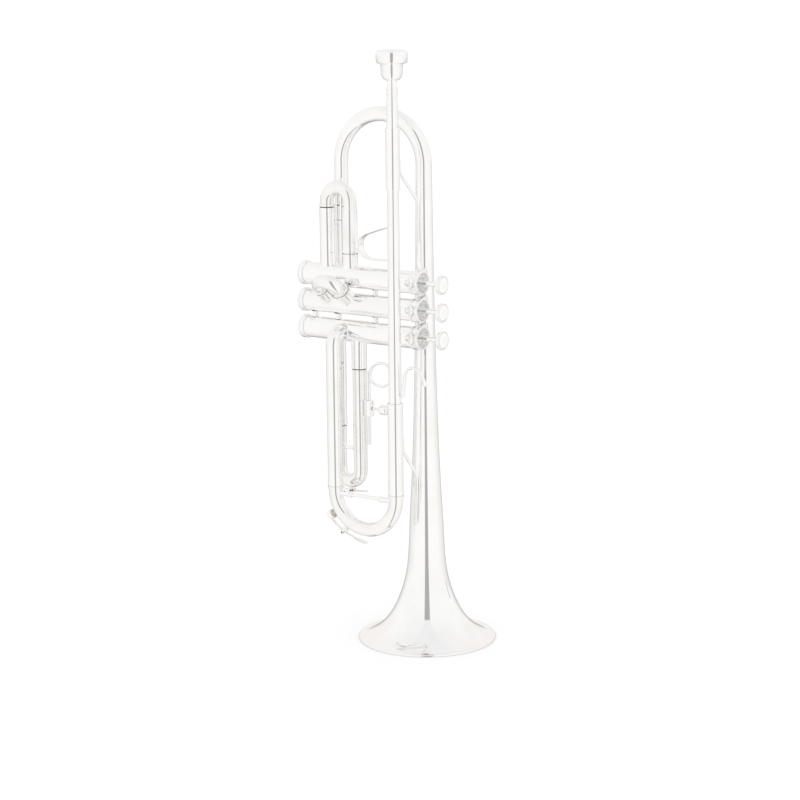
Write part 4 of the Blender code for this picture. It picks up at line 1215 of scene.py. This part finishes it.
def ring_screw():
    """The thumb screw that locks the ring's rod, with a ribbed head."""
    start = Vector((span("ring_screw")[0].x, VALVE_Y, middle_of("ring_block").z))
    profile = [(0, 1.1), (0.3, 1.3), (9.4, 1.3), (9.8, 2.2), (10.1, 3.0), (11.3, 4.2), (11.8, 4.4)]
    profile += [(16.6, 4.4), (17.3, 4.2), (18.2, 3.4), (18.6, 2.4)]
    mesh_data = lathe(profile, start, TO_BUTTONS, SCREW_SIDES, closed=False)
    for vert in mesh_data.verts:
        offset = vert.co - start
        radial = Vector((0.0, offset.y, offset.z))
        if radial.length > 4.3 and round(radial.angle(UP) / (2 * pi / SCREW_SIDES)) % 2:
            vert.co -= radial.normalized() * 0.14
    finish_piece("ring_screw", mesh_data, start)


# ---- water keys ----
def water_hole(mesh_data, middle, half, degrees, radius, rise):
    """The short nipple that a water key's pad closes."""
    outward = bow_point(middle, 1.0, degrees) - middle
    start = middle + outward * (half + CROOK_RADIUS - 0.9)
    profile = [(0, radius + 0.5), (0.9, radius), (rise, radius * 0.8), (rise + 0.3, radius * 0.74)]
    lathe(profile, start, outward, 32, closed=False, mesh_data=mesh_data)


def key_saddle(mesh_data, middle, half, degrees, rise, spread):
    """Two ears on the outside of a bow, with the pin that a water key turns on."""
    outward = bow_point(middle, 1.0, degrees) - middle
    sunk = 1.9
    foot = middle + outward * (half + CROOK_RADIUS - sunk)
    length = sunk + rise + 1.1
    ear = [(0, 1.5), (sunk + 0.3, 1.3), (sunk + 1.4, 1.0)]
    ear += [(length - 0.4, 1.0), (length - 0.1, 0.8), (length, 0.5)]
    for way in (-1, 1):
        ear_foot = foot + TO_BELL_SIDE * way * spread
        lathe(ear, ear_foot, outward, ROD_SIDES, closed=False, mesh_data=mesh_data)
    start = foot + outward * (sunk + rise) - TO_BELL_SIDE * (spread + 1.1)
    head = [(0, 0.5), (0.3, 0.95), (0.8, 0.6)]
    pin = head + [(2 * spread + 2.2 - along, radius) for along, radius in reversed(head)]
    lathe(pin, start, TO_BELL_SIDE, ROD_SIDES, closed=False, mesh_data=mesh_data)


def add_lever(mesh_data, path, width, paddle):
    """The lever's strip, which widens beyond its pivot into a rounded touch piece."""
    rings = []
    count = len(path) - 1
    for k, (point, direction) in enumerate(path):
        t = k / count
        swell = min(1.0, max(0.0, (t - 0.62) / 0.2))
        end = min(1.0, (count - k) / 7)
        rounding = sqrt(max(0.02, end * (2 - end)))
        broad = (width + (paddle - width) * swell * swell * (3 - 2 * swell)) * rounding
        thick = 0.9 * min(1.0, 0.4 + k / 3)
        across = direction.cross(TO_BELL_SIDE).normalized()
        rings.append(ring_of(mesh_data, point, TO_BELL_SIDE, across, thick, ROD_SIDES, broad / 2 / thick))
    skin(mesh_data, rings, False)
    cap_ends(mesh_data, rings)


def key_lever(node, centre, rises, reach, cup, pivot, width, paddle):
    """A lever along the outside of a bow, with a cup at one end and a knuckle on its pivot."""
    points = [bow_point(centre, reach + rise, degrees) for rise, degrees in rises]
    mesh_data = bmesh.new()
    add_lever(mesh_data, smooth_path(points, 12), width, paddle)
    cup_start, cup_degrees, cup_radius, skirt = cup
    outward = bow_point(centre, 1.0, cup_degrees) - centre
    inside = cup_radius - 0.55
    shell = [(0, inside), (-skirt, inside), (-skirt, cup_radius - 0.1), (0.2 - skirt, cup_radius)]
    shell += [(1.6, cup_radius), (2.4, cup_radius - 0.45), (2.8, cup_radius - 1.5)]
    shell += [(2.9, 0.4), (1.2, 0.4), (1.2, inside)]
    lathe(shell, centre + outward * cup_start, outward, 48, mesh_data=mesh_data)
    knuckle = [(0, 1.9), (width, 1.9), (width, 0.9), (0, 0.9)]
    start = pivot - TO_BELL_SIDE * width / 2
    lathe(soften(knuckle), start, TO_BELL_SIDE, 40, mesh_data=mesh_data)
    finish_piece(node, mesh_data, pivot)


def main_water_key():
    """The key under the main bow, with the cork pad in its cup."""
    middle = Vector(((LEAD_X + TUNING_LOW_X) / 2, LEAD_Y, TUNING_CENTRE_Z))
    reach = (LEAD_X - TUNING_LOW_X) / 2 + CROOK_RADIUS
    pivot = bow_point(middle, reach + MAIN_PIVOT_RISE, MAIN_PIVOT_ANGLE)
    rises = [(7.4, 211), (6.9, 223), (MAIN_PIVOT_RISE, MAIN_PIVOT_ANGLE), (5.0, 250), (5.2, 259), (6.4, 271)]
    cup = (reach + 4.9, MAIN_PAD_ANGLE, 4.5, 1.7)
    key_lever("water_key", middle, rises, reach, cup, pivot, 4.2, 7.4)
    outward = bow_point(middle, 1.0, MAIN_PAD_ANGLE) - middle
    pad = [(0, 3.0), (0.3, 3.4), (0.6, 3.6), (2.3, 3.6)]
    start = middle + outward * (reach + 2.3)
    finish_piece("water_key_cork", lathe(pad, start, outward, 40, closed=False), pivot)


def third_water_key():
    """The smaller key under the third slide's bow."""
    middle = Vector(((THIRD_NEAR_X + THIRD_FAR_X) / 2, VALVE_Y, VALVE_Z[2] - THIRD_CENTRE))
    reach = (THIRD_NEAR_X - THIRD_FAR_X) / 2 + CROOK_RADIUS
    pivot = bow_point(middle, reach + THIRD_PIVOT_RISE, THIRD_PIVOT_ANGLE)
    rises = [(4.4, THIRD_PAD_ANGLE), (3.4, 245), (2.8, 262), (THIRD_PIVOT_RISE, THIRD_PIVOT_ANGLE)]
    rises += [(4.9, 299), (8.8, 316)]
    cup = (reach + 1.2, THIRD_PAD_ANGLE, 2.9, 0.0)
    key_lever("third_slide_water_key", middle, rises, reach, cup, pivot, 3.0, 4.6)


# ---- the studio ----
CAMERA_PLACE = Vector((1.10049, -1.63628, 0.62924))
CAMERA_FORWARD = Vector((-0.55552, 0.80597, -0.20446)).normalized()
CAMERA_ROLL = -0.581 * pi / 180
CAMERA_LENS = 102.88
CAMERA_SENSOR = 36.0
TO_CAMERA = Vector((CAMERA_PLACE.x, CAMERA_PLACE.y, 0.0)).normalized()
FLOOR_SIZE = 45.0

# What reflections see of the tent. Greys go by how far a direction turns towards the camera, and
# by its rise. The slot and the pale V above it are seen towards the camera.
ROUND_GREYS = ((0.0, 0.46), (0.05, 0.62), (0.18, 0.84), (0.45, 0.93), (0.62, 0.985), (1.0, 1.0))
OVERHEAD_GREYS = ((0.0, 0.97), (0.55, 0.96), (0.85, 0.93), (1.0, 0.90))
WARM_TINT = (1.0, 0.992, 0.98, 1.0)
BLUSH = (0.93, 0.90, 0.885, 1.0)
BLUSH_TURN = (-0.45, -0.95)
HORIZON = (-0.14, 0.06)
SLOT_HALF_ANGLE = 10.2 * pi / 180
SLOT_SIDE_BLUR = 0.008
SLOT_TOP = 0.675
SLOT_TOP_BLUR = 0.01
SLOT_GREY = (0.43, 0.44, 0.43, 1.0)
OPENING_SPREAD = 0.45
OPENING_EDGE = -0.175
OPENING_BLUR = 0.015
OPENING_GREY = (0.885, 0.885, 0.895, 1.0)
TENT_WHITE = (1.06, 1.06, 1.06, 1.0)

OVERHEAD_STRENGTH = 0.15
OVERHEAD_SPREAD = 70.0 * pi / 180
OVERHEAD_LEAN = (0.25, 0.2, 0.0)
CARD_DISTANCE = 1.22
CARD_WIDTH = 0.075
CARD_HEIGHT = 0.16
CARD_STRENGTH = 0.42


def camera():
    right = CAMERA_FORWARD.cross(UP).normalized()
    above = right.cross(CAMERA_FORWARD)
    rolled_right = right * cos(CAMERA_ROLL) + above * sin(CAMERA_ROLL)
    rolled_above = above * cos(CAMERA_ROLL) - right * sin(CAMERA_ROLL)
    rotation = Matrix((rolled_right, rolled_above, -CAMERA_FORWARD)).transposed()
    data = bpy.data.cameras.new("camera")
    data.lens = CAMERA_LENS
    data.sensor_width = CAMERA_SENSOR
    made = add_object("camera", data)
    made.matrix_world = Matrix.Translation(CAMERA_PLACE) @ rotation.to_4x4()
    bpy.context.scene.camera = made


def floor():
    """A wide pale floor, which reflections don't see."""
    mesh_data = bmesh.new()
    bmesh.ops.create_grid(mesh_data, x_segments=2, y_segments=2, size=FLOOR_SIZE)
    mesh = to_mesh("floor", mesh_data)
    tints = [(0.3, (0.95, 0.95, 0.95)), (0.7, (0.96, 0.96, 0.96))]
    mesh.materials.append(grained("floor_white", (3.0, 2.0), tints, 0.9))
    made = add_object("floor", mesh)
    made.visible_glossy = False


def cap_card():
    """An upright grey card where the top caps' faces mirror the camera, seen only in reflections."""
    caps = Vector((span("top_cap_2")[1].x, VALVE_Y, VALVE_Z[1])) * MM
    sight = (caps - CAMERA_PLACE).normalized()
    mirrored = Vector((-sight.x, sight.y, sight.z))
    across = mirrored.cross(UP).normalized() * CARD_WIDTH / 2
    up = UP * CARD_HEIGHT / 2
    place = caps + mirrored * CARD_DISTANCE
    mesh_data = bmesh.new()
    corners = [place - across - up, place + across - up, place + across + up, place - across + up]
    mesh_data.faces.new([mesh_data.verts.new(corner) for corner in corners])
    mesh = to_mesh("cap_card", mesh_data)
    material = bpy.data.materials.new("cap_card")
    material.use_nodes = True
    material.node_tree.nodes.clear()
    nodes = Nodes(material.node_tree)
    glow = nodes.node("ShaderNodeEmission")
    nodes.feed(glow.inputs["Strength"], CARD_STRENGTH)
    output = nodes.node("ShaderNodeOutputMaterial")
    nodes.feed(output.inputs["Surface"], glow.outputs["Emission"])
    mesh.materials.append(material)
    made = add_object("cap_card", mesh)
    made.visible_camera = False
    made.visible_diffuse = False
    made.visible_shadow = False


def tent():
    """A white tent. Reflections see it fade to warm grey low down behind the object, and see the
    dark upright slot that the camera looks through, with a pale V above it."""
    world = bpy.data.worlds.new("tent")
    world.use_nodes = True
    world.node_tree.nodes.clear()
    nodes = Nodes(world.node_tree)
    place = nodes.node("ShaderNodeTexCoord").outputs["Generated"]
    split = nodes.node("ShaderNodeSeparateXYZ")
    nodes.feed(split.inputs["Vector"], place)
    rise = split.outputs["Z"]
    level = nodes.vector("NORMALIZE", nodes.vector("MULTIPLY", place, (1.0, 1.0, 0.0)))
    toward = nodes.vector("DOT_PRODUCT", level, TO_CAMERA)

    around = nodes.ramp(nodes.remap(toward, -1.0, 1.0), ROUND_GREYS)
    warm = nodes.mix(1.0, around, WARM_TINT, "MULTIPLY")
    overhead = nodes.ramp(rise, OVERHEAD_GREYS)
    blush = nodes.mix(nodes.remap(toward, *BLUSH_TURN), overhead, BLUSH)
    seen = nodes.mix(nodes.remap(rise, *HORIZON), warm, blush)

    sideways = nodes.vector("DOT_PRODUCT", place, TO_CAMERA.cross(UP))
    spread = nodes.math("MULTIPLY_ADD", rise, -OPENING_SPREAD, nodes.math("ABSOLUTE", sideways))
    opening = nodes.remap(spread, OPENING_EDGE + OPENING_BLUR, OPENING_EDGE - OPENING_BLUR)
    seen = nodes.mix(opening, seen, OPENING_GREY)

    outer, inner = cos(SLOT_HALF_ANGLE + SLOT_SIDE_BLUR), cos(SLOT_HALF_ANGLE - SLOT_SIDE_BLUR)
    across = nodes.remap(toward, outer, inner)
    under = nodes.remap(rise, SLOT_TOP + SLOT_TOP_BLUR, SLOT_TOP - SLOT_TOP_BLUR)
    reflected = nodes.mix(nodes.math("MULTIPLY", across, under), seen, SLOT_GREY)

    is_reflection = nodes.node("ShaderNodeLightPath").outputs["Is Glossy Ray"]
    glow = nodes.node("ShaderNodeBackground")
    nodes.feed(glow.inputs["Color"], nodes.mix(is_reflection, TENT_WHITE, reflected))
    output = nodes.node("ShaderNodeOutputWorld")
    nodes.feed(output.inputs["Surface"], glow.outputs["Background"])
    bpy.context.scene.world = world


def overhead_lamp():
    """A weak, very soft lamp that settles the object on the floor."""
    lamp = bpy.data.lights.new("overhead", "SUN")
    lamp.energy = OVERHEAD_STRENGTH
    lamp.angle = OVERHEAD_SPREAD
    made = add_object("overhead", lamp)
    made.rotation_euler = OVERHEAD_LEAN
    made.visible_glossy = False


def studio():
    camera()
    floor()
    tent()
    overhead_lamp()
    cap_card()
    bpy.context.scene.view_settings.view_transform = "Standard"


def build():
    bell()
    bell_bow()
    bell_tail()
    leadpipe()
    mouthpiece_receiver()
    mouthpiece()
    upper_tuning_sleeve()
    lower_tuning_sleeve()
    tuning_slide()
    tuning_slide_brace()
    valves()
    first_slide()
    second_slide()
    third_slide()
    thumb_saddle()
    finger_hook()
    s_brace("upper_s_brace", UPPER_BRACE_BEND, RECEIVER_RADIUS)
    s_brace("lower_s_brace", LOWER_BRACE_BEND, SLEEVE_RADIUS)
    finger_ring()
    ring_block()
    ring_screw()
    main_water_key()
    third_water_key()
    studio()


build()
